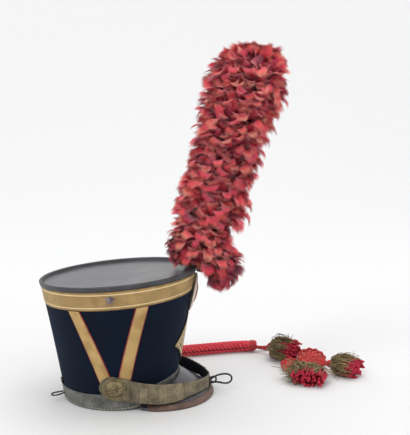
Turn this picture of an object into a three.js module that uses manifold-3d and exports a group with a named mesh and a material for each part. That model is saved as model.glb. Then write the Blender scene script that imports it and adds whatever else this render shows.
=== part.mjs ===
// Shako: a tall cloth-covered hat that widens towards a sunken leather top, with gold lace,
// a peak, brass chin scales, a front plate, a cockade, a feather plume and a plaited red cord
// with two flat knots and three tassels lying beside it.
// Millimetres. +X is the hat's front, -Y the wearer's right, +Z up, and the table is at z = 0.
import * as THREE from 'three';
import { mergeVertices } from 'three/addons/utils/BufferGeometryUtils.js';
import Module from 'manifold-3d';

// Fits
const seatGap = 0.3;
const skinGap = 0.5;
const roundSteps = 40;

// Crown: an oval lower edge, a round top, both outside sizes of the shell
const baseHalfLength = 96;
const baseHalfWidth = 88.6;
const crownHeight = 207;
const topRadius = 133.6;
const topForward = 8.7;
const topSlope = THREE.MathUtils.degToRad(1.8);
const sideDip = 7.5;
const waistDepth = 1;
const shellWall = 2.2;
const restTilt = THREE.MathUtils.degToRad(2.8);

// Leather top: a disc sunk below a rim that turns down over the shell
const rimRise = 4;
const rimWall = 1.9;
const rimTurnDown = 9;
const discDepth = 8;
const discWall = 2.2;

// Lace round the top, and its star
const laceHeight = 30;
const laceWall = 0.8;
const starRadius = 10.5;
const starWall = 1.8;
const starShare = 0.895;
const sideAngle = THREE.MathUtils.degToRad(94);

// Lace chevrons on each side, over a wider red backing
const chevronWidth = 19;
const chevronWall = 0.7;
const chevronBackingWidth = 22.5;
const chevronBackingWall = 0.5;
const chevronLegs = [
  { name: 'back', topAngle: 122.2, footAngle: 100.2, footShare: 0.22 },
  { name: 'front', topAngle: 71.2, footAngle: 85.0, footShare: 0.22 },
];

// Lower leather band and the peak that is sewn to it
const bandBackHeight = 23.6;
const bandFrontHeight = 33;
const bandWall = 1.6;
const peakReach = 62;
const peakSpread = THREE.MathUtils.degToRad(70);
const peakRootDrop = 8;
const peakWall = 2.2;
const peakCrown = 2.4;
const peakEdgeHeight = 2.2;
const peakSteps = 24;
const bindingWidth = 6.5;
const bindingWall = 1.1;

// Chin scales from a round boss on each side to a clasp over the peak
const bossRadius = 20;
const bossDome = 5.5;
const bossRim = 2.4;
const bossAngle = THREE.MathUtils.degToRad(93.2);
const bossHeight = 41;
const scaleWall = 1.1;
const scaleStep = 0.7;
const scaleCrown = 0.6;
const scaleCount = 13;
const scaleEndRadius = 21.5;
const liningWall = 1.3;
const strapEndAngle = THREE.MathUtils.degToRad(1.6);
// turn: share of the boss's angle; out: share of the peak's reach beyond the lower edge;
// low and high: heights above the table as shares of the boss's height
const strapRun = [
  { turn: 1.0, out: 0.0, low: 0.47, high: 1.52 },
  { turn: 0.87, out: 0.05, low: 0.44, high: 1.36 },
  { turn: 0.77, out: 0.2, low: 0.39, high: 1.22 },
  { turn: 0.6, out: 0.41, low: 0.29, high: 1.1 },
  { turn: 0.43, out: 0.54, low: 0.26, high: 1.0 },
  { turn: 0.34, out: 0.61, low: 0.24, high: 0.94 },
  { turn: 0.22, out: 0.73, low: 0.2, high: 0.82 },
  { turn: 0.1, out: 0.84, low: 0.17, high: 0.74 },
  { turn: 0.0, out: 0.91, low: 0.15, high: 0.68 },
];

// Wire at the clasp and at the back
const wireRadius = 1.3;
const hookLength = 38;
const hookHeight = 17;
const eyeRadius = 5.2;
const claspWall = 1.2;
const rearLoopLength = 22;
const rearLoopWidth = 14;
const rearLoopAngle = THREE.MathUtils.degToRad(161);
const rearBuckleWidth = 8;
const rearBuckleHeight = 9;
const rearBuckleWall = 2.4;

// Front plate: a lozenge of brass on a leather backing
const plateHalfWidth = 60;
const plateHalfHeight = 46;
const plateWall = 0.9;
const plateBackingWall = 0.8;
const plateBackingBorder = 2.2;
const plateShare = 0.405;
const plateColumns = 14;

// Cockade, plume socket and stem
const cockadeRadius = 29;
const cockadeDome = 6;
const cockadeWall = 2;
const cockadeShare = 0.785;
const socketRadius = 6.5;
const socketHeight = 15;
const stemRadius = 2.8;
const stemLength = 26;

// Plume: rows of tongues on a core; at: share of the height, lean: centre's place along X as a
// share of the height, wide: half-width as a share of the greatest
const plumeHeight = 352;
const plumeHalfWidth = 70;
const plumeCoreShare = 0.88;
const plumeSides = 8;
const plumeRun = [
  { at: 0.0, lean: 0.0, wide: 0.5 },
  { at: 0.05, lean: 0.012, wide: 0.86 },
  { at: 0.19, lean: 0.033, wide: 0.85 },
  { at: 0.36, lean: 0.075, wide: 0.82 },
  { at: 0.52, lean: 0.118, wide: 0.79 },
  { at: 0.67, lean: 0.162, wide: 0.9 },
  { at: 0.83, lean: 0.208, wide: 0.98 },
  { at: 0.93, lean: 0.236, wide: 0.88 },
  { at: 1.0, lean: 0.25, wide: 0.42 },
];
const plumeRows = 6;
const plumeLocksInRow = 6;
const lockLength = 62;
const lockWidth = 40;
const lockWall = 12;
const lockDroop = 14;
// Tongues that hang from the plume's foot before the cockade: turn from the front in degrees,
// out: distance from the stem and length in millimetres
const plumeTails = [
  { turn: 0, out: 46, length: 58 },
  { turn: 34, out: 30, length: 76 },
  { turn: -34, out: 30, length: 72 },
  { turn: 62, out: 44, length: 52 },
  { turn: -62, out: 44, length: 50 },
];

// Plaited cord, hung from a hook on the left side; its route's points are millimetres from the
// centre of the crown's lower edge, with heights above the table
const cordWidth = 22;
const cordHookShare = 0.9;
const cordHookAngle = THREE.MathUtils.degToRad(104);
const cordHookReach = 16;
const cordSides = 10;
const cordSteps = 16;
const cordRoute = [
  [-33, 144, 185.2], [-33, 145, 156], [-33, 146, 126], [-32, 148, 100], [-28, 151, 73], [-18, 156, 47],
  [-1, 163, 26], [23, 172, 14], [50, 181, 11.4], [79, 189, 11.3], [108, 196, 11.3], [138, 203, 11.3],
  [168, 210, 11.3], [198, 217, 11.3], [228, 223, 11.3], [256, 225, 11.3],
];
const knotLength = 17;
const knotRadius = 12.5;
const thinCordWidth = 6;
const thinCordRoutes = {
  cord_to_tassel: [[274.6, 221.2, 11.2], [283, 216, 11.5], [290, 210, 13.5], [295.7, 202.7, 16.5]],
  cord_to_flat_knot: [[274.4, 227.6, 8.2], [300, 230, 3.3], [330, 226, 3.3], [358, 210, 3.3], [379, 186, 3.3],
    [384, 164, 5.5], [379, 144, 16.8]],
};

// Tassels: a round head and a skirt of bullion locks; from: the head's centre, to: the middle of
// the skirt's end, wide and high: the end's half-width and half-height to the locks' middles
const tasselHeadRadius = 7.5;
const tasselLocks = 8;
const bullionWidth = 14;
const tassels = [
  { name: 'tassel_back', from: [300, 197, 19], to: [343, 163, 21], wide: 16, high: 15 },
  { name: 'tassel_front', from: [357, 76, 14], to: [332, 5, 15.2], wide: 25, high: 9 },
  { name: 'tassel_right', from: [396, 88, 14], to: [436, 42, 19.2], wide: 17, high: 12 },
];
// Flat crocheted knots: middle, radius, lean towards the viewer's side, and the way the loop points
const flatKnotWall = 8;
const flatKnots = [
  { name: 'flat_knot_upper', middle: [370, 124, 14.2], radius: 27, lean: 27, stub: [393.7, 96.6, 12.4] },
  { name: 'flat_knot_lower', middle: [327.3, 98.6, 8.8], radius: 24, lean: 14, stub: [352.9, 84.2, 12.5] },
];

const felt = { color: 0x1a2130, roughness: 0.95, metalness: 0 };
const patent = { color: 0x6c6d70, roughness: 0.4, metalness: 0 };
const bandLeather = { color: 0x63635f, roughness: 0.6, metalness: 0 };
const lace = { color: 0xc9a869, roughness: 0.6, metalness: 0.4 };
const redCloth = { color: 0xa8434f, roughness: 0.9, metalness: 0 };
const silver = { color: 0x9a8f94, roughness: 0.4, metalness: 0.8 };
const brownLeather = { color: 0x6b4a44, roughness: 0.5, metalness: 0 };
const oldBrass = { color: 0x8a7a5a, roughness: 0.5, metalness: 0.8 };
const paleBrass = { color: 0xb5a27d, roughness: 0.35, metalness: 0.9 };
const darkLining = { color: 0x0b0e1a, roughness: 0.8, metalness: 0 };
const wireSteel = { color: 0x3c3c3c, roughness: 0.45, metalness: 0.8 };
const feather = { color: 0xa82f3c, roughness: 0.9, metalness: 0 };
const braidRed = { color: 0xc8333f, roughness: 0.85, metalness: 0 };
const bullionRed = { color: 0xb01535, roughness: 0.85, metalness: 0 };
const cockadeLeather = { color: 0xe0cfc0, roughness: 0.6, metalness: 0 };

const manifold = await Module();
manifold.setup();

// Geometry from points and triangles, with its faces turned outwards and its poles closed
function solidGeometry(points, faces) {
  const loose = new THREE.BufferGeometry();
  loose.setAttribute('position', new THREE.Float32BufferAttribute(points.flatMap((p) => [p.x, p.y, p.z]), 3));
  loose.setIndex(faces.flat());
  const merged = mergeVertices(loose, 1e-4);
  const index = merged.index.array;
  const position = merged.attributes.position;
  const a = new THREE.Vector3();
  const b = new THREE.Vector3();
  const c = new THREE.Vector3();
  const kept = [];
  let volume = 0;
  for (let i = 0; i < index.length; i += 3) {
    const corners = [index[i], index[i + 1], index[i + 2]];
    if (new Set(corners).size < 3) continue;
    kept.push(corners);
    a.fromBufferAttribute(position, corners[0]);
    b.fromBufferAttribute(position, corners[1]);
    c.fromBufferAttribute(position, corners[2]);
    volume += a.dot(b.cross(c));
  }
  merged.setIndex(volume < 0 ? kept.flatMap(([p, q, r]) => [p, r, q]) : kept.flat());
  merged.computeVertexNormals();
  return merged;
}

// Triangles over the end of a strip, whose outline runs out along one side and back along the other
function endFaces(first, count, flip) {
  const faces = [];
  for (let j = 0; j < count / 2 - 1; j += 1) {
    const [p, q, r, s] = [first + j, first + j + 1, first + count - 2 - j, first + count - 1 - j];
    if (flip) faces.push([p, r, q], [p, s, r]);
    else faces.push([p, q, r], [p, r, s]);
  }
  return faces.filter(([p, q, r]) => p !== q && q !== r && r !== p);
}

// Closed solid through a run of outlines with the same even number of points; each quad is cut
// along its shorter diagonal, and loop joins last to first
function loftSolid(sections, loop = false) {
  const count = sections[0].length;
  const faces = [];
  const points = sections.flat();
  const apart = (p, q) => points[p].distanceToSquared(points[q]);
  const runs = loop ? sections.length : sections.length - 1;
  for (let i = 0; i < runs; i += 1) {
    const here = i * count;
    const next = ((i + 1) % sections.length) * count;
    for (let j = 0; j < count; j += 1) {
      const k = (j + 1) % count;
      if (apart(here + j, next + k) <= apart(here + k, next + j)) {
        faces.push([here + j, next + j, next + k], [here + j, next + k, here + k]);
      } else {
        faces.push([here + j, next + j, here + k], [next + j, next + k, here + k]);
      }
    }
  }
  if (!loop) {
    faces.push(...endFaces(0, count, false));
    faces.push(...endFaces((sections.length - 1) * count, count, true));
  }
  return solidGeometry(points, faces);
}

function toManifold(geometry) {
  const bare = geometry.clone();
  bare.deleteAttribute('normal');
  bare.deleteAttribute('uv');
  const merged = mergeVertices(bare, 1e-4);
  return new manifold.Manifold(new manifold.Mesh({
    numProp: 3,
    vertProperties: new Float32Array(merged.attributes.position.array),
    triVerts: new Uint32Array(merged.index.array),
  }));
}

function fuse(geometries) {
  const joined = geometries.map(toManifold).reduce((whole, piece) => whole.add(piece));
  const mesh = joined.getMesh();
  const geometry = new THREE.BufferGeometry();
  geometry.setAttribute('position', new THREE.BufferAttribute(mesh.vertProperties, 3));
  geometry.setIndex(new THREE.BufferAttribute(mesh.triVerts, 1));
  geometry.computeVertexNormals();
  return geometry;
}

function named(name, geometry, finish) {
  const mesh = new THREE.Mesh(geometry, new THREE.MeshStandardMaterial(finish));
  mesh.name = name;
  return mesh;
}

function tube(points, radius, sides, steps) {
  const curve = new THREE.CatmullRomCurve3(points);
  const outline = Array.from({ length: sides }, (_, i) => {
    const turn = (2 * Math.PI * (i + 0.5)) / sides;
    return new THREE.Vector2(radius * Math.cos(turn), radius * Math.sin(turn));
  });
  return new THREE.ExtrudeGeometry(new THREE.Shape(outline), {
    steps,
    extrudePath: curve,
    bevelEnabled: false,
  });
}

const angles = Array.from({ length: roundSteps }, (_, i) => (2 * Math.PI * i) / roundSteps);
const vector = (x, y, z) => new THREE.Vector3(x, y, z);

// Crown surface, in the hat's own frame
function topPoint(angle, radius, rise) {
  const p = vector(radius * Math.cos(angle), radius * Math.sin(angle), rise);
  return p.applyAxisAngle(vector(0, 1, 0), -topSlope).add(vector(topForward, 0, crownHeight));
}

function crownSurface(angle, share) {
  const dip = sideDip * Math.sin(angle) ** 2;
  const foot = vector(baseHalfLength * Math.cos(angle), baseHalfWidth * Math.sin(angle), -dip);
  const p = foot.lerp(topPoint(angle, topRadius, 0), share);
  const waist = 4 * waistDepth * share * (1 - share);
  return p.add(vector(-waist * Math.cos(angle), -waist * Math.sin(angle), 0));
}

function crownSlopes(angle, share) {
  const step = 1e-3;
  const round = crownSurface(angle + step, share).sub(crownSurface(angle - step, share)).divideScalar(2 * step);
  const up = crownSurface(angle, share + step).sub(crownSurface(angle, share - step)).divideScalar(2 * step);
  return { round, up, normal: round.clone().cross(up).normalize() };
}

function crownPoint(angle, share, stand = 0) {
  return crownSurface(angle, share).addScaledVector(crownSlopes(angle, share).normal, stand);
}

// Where a step along the crown leads, as an angle and a share of the height
function crownStep(angle, share, move) {
  const { round, up } = crownSlopes(angle, share);
  const rr = round.dot(round);
  const ru = round.dot(up);
  const uu = up.dot(up);
  const det = rr * uu - ru * ru;
  const mr = move.dot(round);
  const mu = move.dot(up);
  return [angle + (mr * uu - mu * ru) / det, share + (mu * rr - mr * ru) / det];
}

function crownShareAt(angle, z) {
  const foot = crownSurface(angle, 0).z;
  return (z - foot) / (crownSurface(angle, 1).z - foot);
}

function crownBasis(angle, share, stand) {
  const { up, normal } = crownSlopes(angle, share);
  const rise = up.clone().addScaledVector(normal, -up.dot(normal)).normalize();
  const basis = new THREE.Matrix4().makeBasis(rise.clone().cross(normal), rise, normal);
  return basis.setPosition(crownPoint(angle, share, stand));
}

// Ring of wall round the crown between two shares of its height, standing off by from to to
function crownRing(levels, from, to) {
  return loftSolid(angles.map((angle) => {
    const shares = levels(angle);
    const outside = shares.map((share) => crownPoint(angle, share, to));
    const inside = shares.map((share) => crownPoint(angle, share, from)).reverse();
    return [...outside, ...inside];
  }), true);
}

function bandHeight(angle) {
  return bandBackHeight + ((bandFrontHeight - bandBackHeight) * (1 + Math.cos(angle))) / 2;
}

const bandStand = seatGap;
const bandOutside = bandStand + bandWall;
const bandFootShare = -seatGap / crownHeight;

// The hat rests on its lower edge and the peak, tilted front up
const restLift = Math.max(...angles.map((angle) => {
  const p = crownPoint(angle, bandFootShare, bandOutside);
  return -(p.x * Math.sin(restTilt) + p.z * Math.cos(restTilt));
}));
const floorAt = (x) => (-restLift - x * Math.sin(restTilt)) / Math.cos(restTilt);

function crownShell() {
  const shares = [0, 0.33, 0.67];
  return loftSolid(angles.map((angle) => [
    ...shares.map((share) => crownPoint(angle, share)),
    topPoint(angle, topRadius, 0),
    topPoint(angle, topRadius - shellWall, 0),
    ...shares.map((share) => crownPoint(angle, share, -shellWall)).reverse(),
  ]), true);
}

function crownTop() {
  const shellInside = topRadius - shellWall;
  const skirtShare = 1 - rimTurnDown / crownHeight;
  const discTop = rimRise - discDepth;
  return loftSolid(angles.map((angle) => [
    topPoint(angle, 0, discTop - discWall),
    topPoint(angle, shellInside - 2.4, discTop - discWall),
    topPoint(angle, shellInside - seatGap - 0.4, seatGap),
    topPoint(angle, topRadius + seatGap, seatGap),
    crownPoint(angle, skirtShare, seatGap),
    crownPoint(angle, skirtShare, seatGap + rimWall),
    topPoint(angle, topRadius + rimWall + seatGap, 0.4 * rimRise),
    topPoint(angle, topRadius + 0.3 * rimWall, rimRise),
    topPoint(angle, shellInside - 0.6 * rimWall, 0.7 * rimRise),
    topPoint(angle, shellInside - 1.4 * rimWall, discTop),
    topPoint(angle, 0, discTop),
  ]), true);
}

const laceTopShare = 1 - (rimTurnDown + seatGap) / crownHeight;
const laceFootShare = laceTopShare - laceHeight / crownHeight;
const laceOutside = seatGap + laceWall;

function topLace() {
  return crownRing(() => [laceFootShare, laceTopShare], seatGap, laceOutside);
}

function lowerBand() {
  return crownRing((angle) => [bandFootShare, bandHeight(angle) / crownHeight], bandStand, bandOutside);
}

// Strip of lace laid down the crown along one leg of a chevron
function chevronStrip(leg, side, width, from, to) {
  const steps = 7;
  const topAngle = side * THREE.MathUtils.degToRad(leg.topAngle);
  const footAngle = side * THREE.MathUtils.degToRad(leg.footAngle);
  const topShare = laceFootShare - seatGap / crownHeight;
  const across = [-0.5, 0, 0.5];
  const sections = [];
  for (let i = 0; i <= steps; i += 1) {
    const along = i / steps;
    const angle = footAngle + (topAngle - footAngle) * along;
    const share = leg.footShare + (topShare - leg.footShare) * along;
    const { round, normal } = crownSlopes(angle, share);
    const spots = across.map((part) => {
      const level = round.clone().addScaledVector(normal, -round.dot(normal)).normalize();
      return crownStep(angle, share, level.multiplyScalar(part * width));
    });
    sections.push([
      ...spots.map(([a, s]) => crownPoint(a, s, to)),
      ...spots.map(([a, s]) => crownPoint(a, s, from)).reverse(),
    ]);
  }
  return loftSolid(sections);
}

const chevronBackingOutside = skinGap + chevronBackingWall;
const chevronInside = chevronBackingOutside + seatGap;
const chevronOutside = chevronInside + chevronWall;

function star() {
  const outline = Array.from({ length: 10 }, (_, i) => {
    const turn = (Math.PI * i) / 5 + Math.PI / 2;
    const reach = i % 2 ? 0.42 * starRadius : starRadius;
    return new THREE.Vector2(reach * Math.cos(turn), reach * Math.sin(turn));
  });
  return new THREE.ExtrudeGeometry(new THREE.Shape(outline), { depth: starWall, bevelEnabled: false });
}

// Peak: how far it reaches past the lower edge, and how high its root and edge run
function lowerEdgeRadius(angle) {
  const length = baseHalfLength + bandOutside;
  const width = baseHalfWidth + bandOutside;
  return (length * width) / Math.hypot(width * Math.cos(angle), length * Math.sin(angle));
}

const peakFade = (angle) => Math.cos(Math.min(1, Math.abs(angle) / peakSpread) * (Math.PI / 2));
const peakOut = (angle) => 1.5 + peakReach * peakFade(angle) ** 0.8;
const peakRootRise = (angle) => (bandFrontHeight - peakRootDrop) * peakFade(angle) ** 1.2;

function peakPoint(angle, out, lift) {
  const root = crownPoint(angle, (peakRootRise(angle) + 3) / crownHeight, bandOutside + seatGap + 0.3);
  const rootRadius = Math.hypot(root.x, root.y);
  const edgeRadius = Math.max(lowerEdgeRadius(angle) + peakOut(angle), rootRadius + 0.8);
  const radius = rootRadius + (edgeRadius - rootRadius) * out;
  const x = radius * Math.cos(angle);
  const edge = floorAt(x) + peakEdgeHeight + bindingWall + seatGap;
  const bulge = 4 * peakCrown * peakFade(angle) * out * (1 - out);
  return vector(x, radius * Math.sin(angle), root.z + (edge - root.z) * out + bulge + lift);
}

const peakAngles = Array.from({ length: peakSteps + 1 }, (_, i) => peakSpread * (2 * i / peakSteps - 1) * 0.985);

function peak() {
  const outs = [0, 0.33, 0.67, 1];
  return loftSolid(peakAngles.map((angle) => [
    ...outs.map((out) => peakPoint(angle, out, 0)),
    ...outs.map((out) => peakPoint(angle, out, -peakWall)).reverse(),
  ]));
}

// Leather folded over the peak's edge
function peakBinding() {
  return loftSolid(peakAngles.slice(1, -1).map((angle) => {
    const depth = bindingWidth / Math.max(peakOut(angle), bindingWidth);
    const at = (out, away, lift) => {
      const p = peakPoint(angle, out, lift);
      return p.add(vector(away * Math.cos(angle), away * Math.sin(angle), 0));
    };
    const above = seatGap;
    const below = -peakWall - 2 * seatGap;
    return [
      at(1 - depth, 0, above + bindingWall),
      at(1, seatGap, above + bindingWall),
      at(1, seatGap + bindingWall, above),
      at(1, seatGap + bindingWall, below),
      at(1, seatGap, below - bindingWall),
      at(1 - depth, 0, below - bindingWall),
      at(1 - depth, 0, below),
      at(1 - depth / 2, 0, below),
      at(1, seatGap, below),
      at(1, seatGap, above),
      at(1 - depth / 2, 0, above),
      at(1 - depth, 0, above),
    ];
  }));
}

// Chin strap: a row of the run's table at a turn of 0 at the clasp to 1 at the boss
function strapRow(turn) {
  const upper = strapRun.findIndex((row) => row.turn <= turn);
  const next = upper < 0 ? strapRun.at(-1) : strapRun[upper];
  const last = strapRun[Math.max(0, (upper < 0 ? strapRun.length : upper) - 1)];
  const span = last.turn - next.turn;
  const part = span > 0 ? (turn - next.turn) / span : 0;
  const mix = (key) => next[key] + (last[key] - next[key]) * part;
  return { out: mix('out'), low: mix('low'), high: mix('high') };
}

const strapStand = chevronOutside + seatGap;

function strapPoint(side, turn, height, out, stand) {
  const angle = turn * bossAngle;
  const x = lowerEdgeRadius(angle) * Math.cos(angle);
  const z = floorAt(x) + height;
  const onCrown = crownPoint(angle, crownShareAt(angle, z), strapStand + stand);
  const free = lowerEdgeRadius(angle) + out * peakReach + stand;
  const radius = Math.max(Math.hypot(onCrown.x, onCrown.y), free);
  return vector(radius * Math.cos(angle), side * radius * Math.sin(angle), z);
}

function peakClearHeight(turn, out) {
  const angle = turn * bossAngle;
  if (angle > 0.9 * peakSpread) return 0;
  const reach = (out * peakReach) / peakOut(angle);
  const top = peakPoint(angle, Math.min(reach, 1), 0);
  const x = lowerEdgeRadius(angle) * Math.cos(angle);
  return top.z - floorAt(x) + bindingWall + 2.5 * seatGap;
}

// Outline across the strap at one turn; the far end behind the boss is round
function strapSection(side, turn, inside, outside) {
  const { out, low, high } = strapRow(Math.min(turn, 1));
  let bottom = Math.max(low * bossHeight, peakClearHeight(turn, out));
  let top = high * bossHeight;
  if (turn > 1) {
    const along = (turn - 1) * bossAngle * lowerEdgeRadius(bossAngle);
    const half = Math.sqrt(Math.max(scaleEndRadius ** 2 - along ** 2, 4));
    const middle = (bottom + top) / 2;
    bottom = middle - half;
    top = middle + half;
  }
  const heights = [bottom, (bottom + top) / 2, top];
  const crowned = [outside, outside + scaleCrown, outside];
  return [
    ...heights.map((height, i) => strapPoint(side, turn, height, out, crowned[i])),
    ...[...heights].reverse().map((height) => strapPoint(side, turn, height, out, inside)),
  ];
}

const strapEndTurn = strapEndAngle / bossAngle;
const strapTailTurn = 1 + scaleEndRadius / (bossAngle * lowerEdgeRadius(bossAngle));
const tailTurns = [0.45, 0.8, 0.985].map((part) => 1 + (strapTailTurn - 1) * part);

function chinScales(side) {
  const inside = liningWall + seatGap;
  const sections = [];
  for (let i = 0; i < scaleCount; i += 1) {
    const start = strapEndTurn + ((1 - strapEndTurn) * i) / scaleCount;
    const end = strapEndTurn + ((1 - strapEndTurn) * (i + 1)) / scaleCount;
    sections.push(strapSection(side, start + 0.002, inside, inside + scaleWall + scaleStep));
    sections.push(strapSection(side, end, inside, inside + scaleWall));
  }
  tailTurns.forEach((turn) => sections.push(strapSection(side, turn, inside, inside + scaleWall)));
  return loftSolid(sections);
}

function chinLining(side) {
  const steps = scaleCount;
  return loftSolid(Array.from({ length: steps + 1 }, (_, i) => {
    const turn = strapEndTurn + (1 - strapEndTurn) * (i / steps);
    return strapSection(side, turn, 0, liningWall - scaleCrown);
  }));
}

function boss() {
  const r = bossRadius;
  const profile = [
    [0, 0], [r - 0.8, 0], [r, 0.8], [r, 1.8], [r - bossRim / 2, bossRim], [r - bossRim, 1.6],
    [0.75 * r, 0.5 * bossDome], [0.45 * r, 0.86 * bossDome], [0, bossDome],
  ];
  const lathe = new THREE.LatheGeometry(profile.map(([x, y]) => new THREE.Vector2(x, y)), 16);
  return lathe.rotateX(Math.PI / 2);
}

const bossShare = bossHeight / crownHeight - 0.006;
const scalesOutside = liningWall + seatGap + scaleWall + scaleStep + scaleCrown;
const bossStand = strapStand + scalesOutside - scaleStep + seatGap;

// Wire hook and eye on small plates at the strap's front ends
function claspPlate(side, low, high) {
  const inside = scalesOutside + seatGap;
  const near = strapEndTurn + 0.004;
  return loftSolid([near, near + 0.055].map((turn) => {
    const { out } = strapRow(turn);
    return [
      strapPoint(side, turn, low, out, inside + claspWall),
      strapPoint(side, turn, high, out, inside + claspWall),
      strapPoint(side, turn, high, out, inside),
      strapPoint(side, turn, low, out, inside),
    ];
  }));
}

const claspTurn = strapEndTurn + 0.02;

function strapHook() {
  const { out, low, high } = strapRow(claspTurn);
  const middle = (0.35 * low + 0.65 * high) * bossHeight;
  const stand = scalesOutside + seatGap + claspWall;
  const root = strapPoint(-1, claspTurn, middle, out, stand - 0.4);
  const at = (along, rise, aside) => root.clone().add(vector(along * hookLength, aside, rise * hookHeight));
  const wire = tube([
    at(0, -0.1, 0), at(0.12, 0.1, 0), at(0.4, 0.3, 1.2), at(0.75, 0.32, 2.2), at(0.96, 0.1, 2.4),
    at(1, -0.25, 2), at(0.86, -0.62, 1.4), at(0.62, -0.62, 0), at(0.35, -0.4, -2.2), at(0.12, -0.34, -3.2),
    at(0, -0.44, -3.4),
  ], wireRadius, 6, 19);
  return fuse([claspPlate(-1, middle - 0.62 * hookHeight, middle + 0.12 * hookHeight), wire]);
}

function strapEye() {
  const { out, low } = strapRow(claspTurn);
  const middle = low * bossHeight + eyeRadius + 2.4;
  const stand = scalesOutside + seatGap + claspWall;
  const root = strapPoint(1, claspTurn, middle, out, stand);
  const ring = new THREE.TorusGeometry(eyeRadius, wireRadius, 6, 14);
  ring.rotateX(Math.PI / 2);
  ring.translate(root.x + eyeRadius + wireRadius - 0.6, root.y, root.z - 1.5);
  return fuse([claspPlate(1, middle - 5, middle + 5), ring]);
}

function rearLoop() {
  const share = (0.45 * bandBackHeight) / crownHeight;
  const stand = bandOutside + seatGap;
  const basis = crownBasis(-rearLoopAngle, share, stand);
  const half = rearLoopWidth / 2;
  const wire = tube([
    vector(-0.55 * half, 0, 0), vector(-0.8 * half, 0.2, 0.3 * rearLoopLength),
    vector(-half, 1, 0.65 * rearLoopLength), vector(-0.5 * half, 1.6, 0.95 * rearLoopLength),
    vector(0.5 * half, 1.6, 0.95 * rearLoopLength), vector(half, 1, 0.65 * rearLoopLength),
    vector(0.8 * half, 0.2, 0.3 * rearLoopLength), vector(0.55 * half, 0, 0),
  ], wireRadius, 6, 12);
  return wire.applyMatrix4(basis);
}

function rearBuckle() {
  const share = (bandBackHeight + 0.9 * rearBuckleHeight) / crownHeight;
  const hole = new THREE.Shape();
  const w = rearBuckleWidth / 2;
  const h = rearBuckleHeight / 2;
  hole.moveTo(-w, -h);
  hole.lineTo(w, -h);
  hole.lineTo(w, h);
  hole.lineTo(-w, h);
  const inner = new THREE.Path();
  inner.moveTo(-0.5 * w, -0.55 * h);
  inner.lineTo(-0.5 * w, 0.55 * h);
  inner.lineTo(0.5 * w, 0.55 * h);
  inner.lineTo(0.5 * w, -0.55 * h);
  hole.holes.push(inner);
  const frame = new THREE.ExtrudeGeometry(hole, { depth: rearBuckleWall, bevelEnabled: false });
  return frame.applyMatrix4(crownBasis(-rearLoopAngle, share, seatGap));
}

// Lozenge that wraps the crown's front; grow widens it on every side
function frontLozenge(grow, from, to) {
  const halfTurn = (plateHalfWidth + grow) / crownSlopes(0, plateShare).round.length();
  const halfShare = (plateHalfHeight + grow) / crownHeight;
  const rows = [-1, 0, 1];
  return loftSolid(Array.from({ length: plateColumns + 1 }, (_, i) => {
    const column = (2 * i) / plateColumns - 1;
    const reach = halfShare * Math.max(1 - Math.abs(column), 0.04);
    const shares = rows.map((row) => plateShare + row * reach);
    return [
      ...shares.map((share) => crownPoint(column * halfTurn, share, to)),
      ...shares.map((share) => crownPoint(column * halfTurn, share, from)).reverse(),
    ];
  }));
}

const plateInside = skinGap + plateBackingWall + seatGap;

function cockade() {
  const r = cockadeRadius;
  const profile = [
    [0, cockadeDome - cockadeWall], [0.5 * r, 0.66 * cockadeDome - cockadeWall + 0.3], [r - 3, 0],
    [r - 0.5, 0], [r, 0.8], [r - 0.8, 1.8], [0.82 * r, 0.42 * cockadeDome + 0.5], [0.8 * r, 0.42 * cockadeDome],
    [0.46 * r, 0.82 * cockadeDome], [0.42 * r, 0.82 * cockadeDome + 0.8], [0, cockadeDome + 1],
  ];
  const lathe = new THREE.LatheGeometry(profile.map(([x, y]) => new THREE.Vector2(x, y)), 18);
  return lathe.rotateX(Math.PI / 2).applyMatrix4(crownBasis(0, cockadeShare, laceOutside + seatGap));
}

const cockadeTopShare = cockadeShare + (cockadeRadius + seatGap) / crownHeight;
const socketStand = seatGap + rimWall + seatGap + socketRadius;
const socketBasis = crownBasis(0, cockadeTopShare + 0.012, socketStand);

function plumeSocket() {
  const profile = [
    [stemRadius + seatGap, 0], [socketRadius, 0], [socketRadius, socketHeight],
    [stemRadius + seatGap, socketHeight], [stemRadius + seatGap, 0],
  ];
  const lathe = new THREE.LatheGeometry(profile.map(([x, y]) => new THREE.Vector2(x, y)), 14);
  return lathe.applyMatrix4(socketBasis);
}

function plumeStem() {
  const stem = new THREE.CylinderGeometry(stemRadius, stemRadius * 0.8, stemLength, 10);
  stem.translate(0, stemLength / 2, 0);
  return stem.applyMatrix4(socketBasis);
}

// Plume core and one tongue; heights run from the stem's top
function plumeAt(share) {
  const upper = plumeRun.findIndex((row) => row.at >= share);
  const next = plumeRun[Math.max(upper, 1)];
  const last = plumeRun[Math.max(upper, 1) - 1];
  const part = (share - last.at) / (next.at - last.at);
  const lean = last.lean + (next.lean - last.lean) * part;
  const wide = last.wide + (next.wide - last.wide) * part;
  return { x: lean * plumeHeight, z: share * plumeHeight, radius: wide * plumeHalfWidth };
}

function plumeCore() {
  return loftSolid(plumeRun.map((row) => {
    const { x, z, radius } = plumeAt(row.at);
    return Array.from({ length: plumeSides }, (_, i) => {
      const turn = (2 * Math.PI * i) / plumeSides;
      const core = plumeCoreShare * radius;
      return vector(x + core * Math.cos(turn), core * Math.sin(turn), z);
    });
  }));
}

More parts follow.
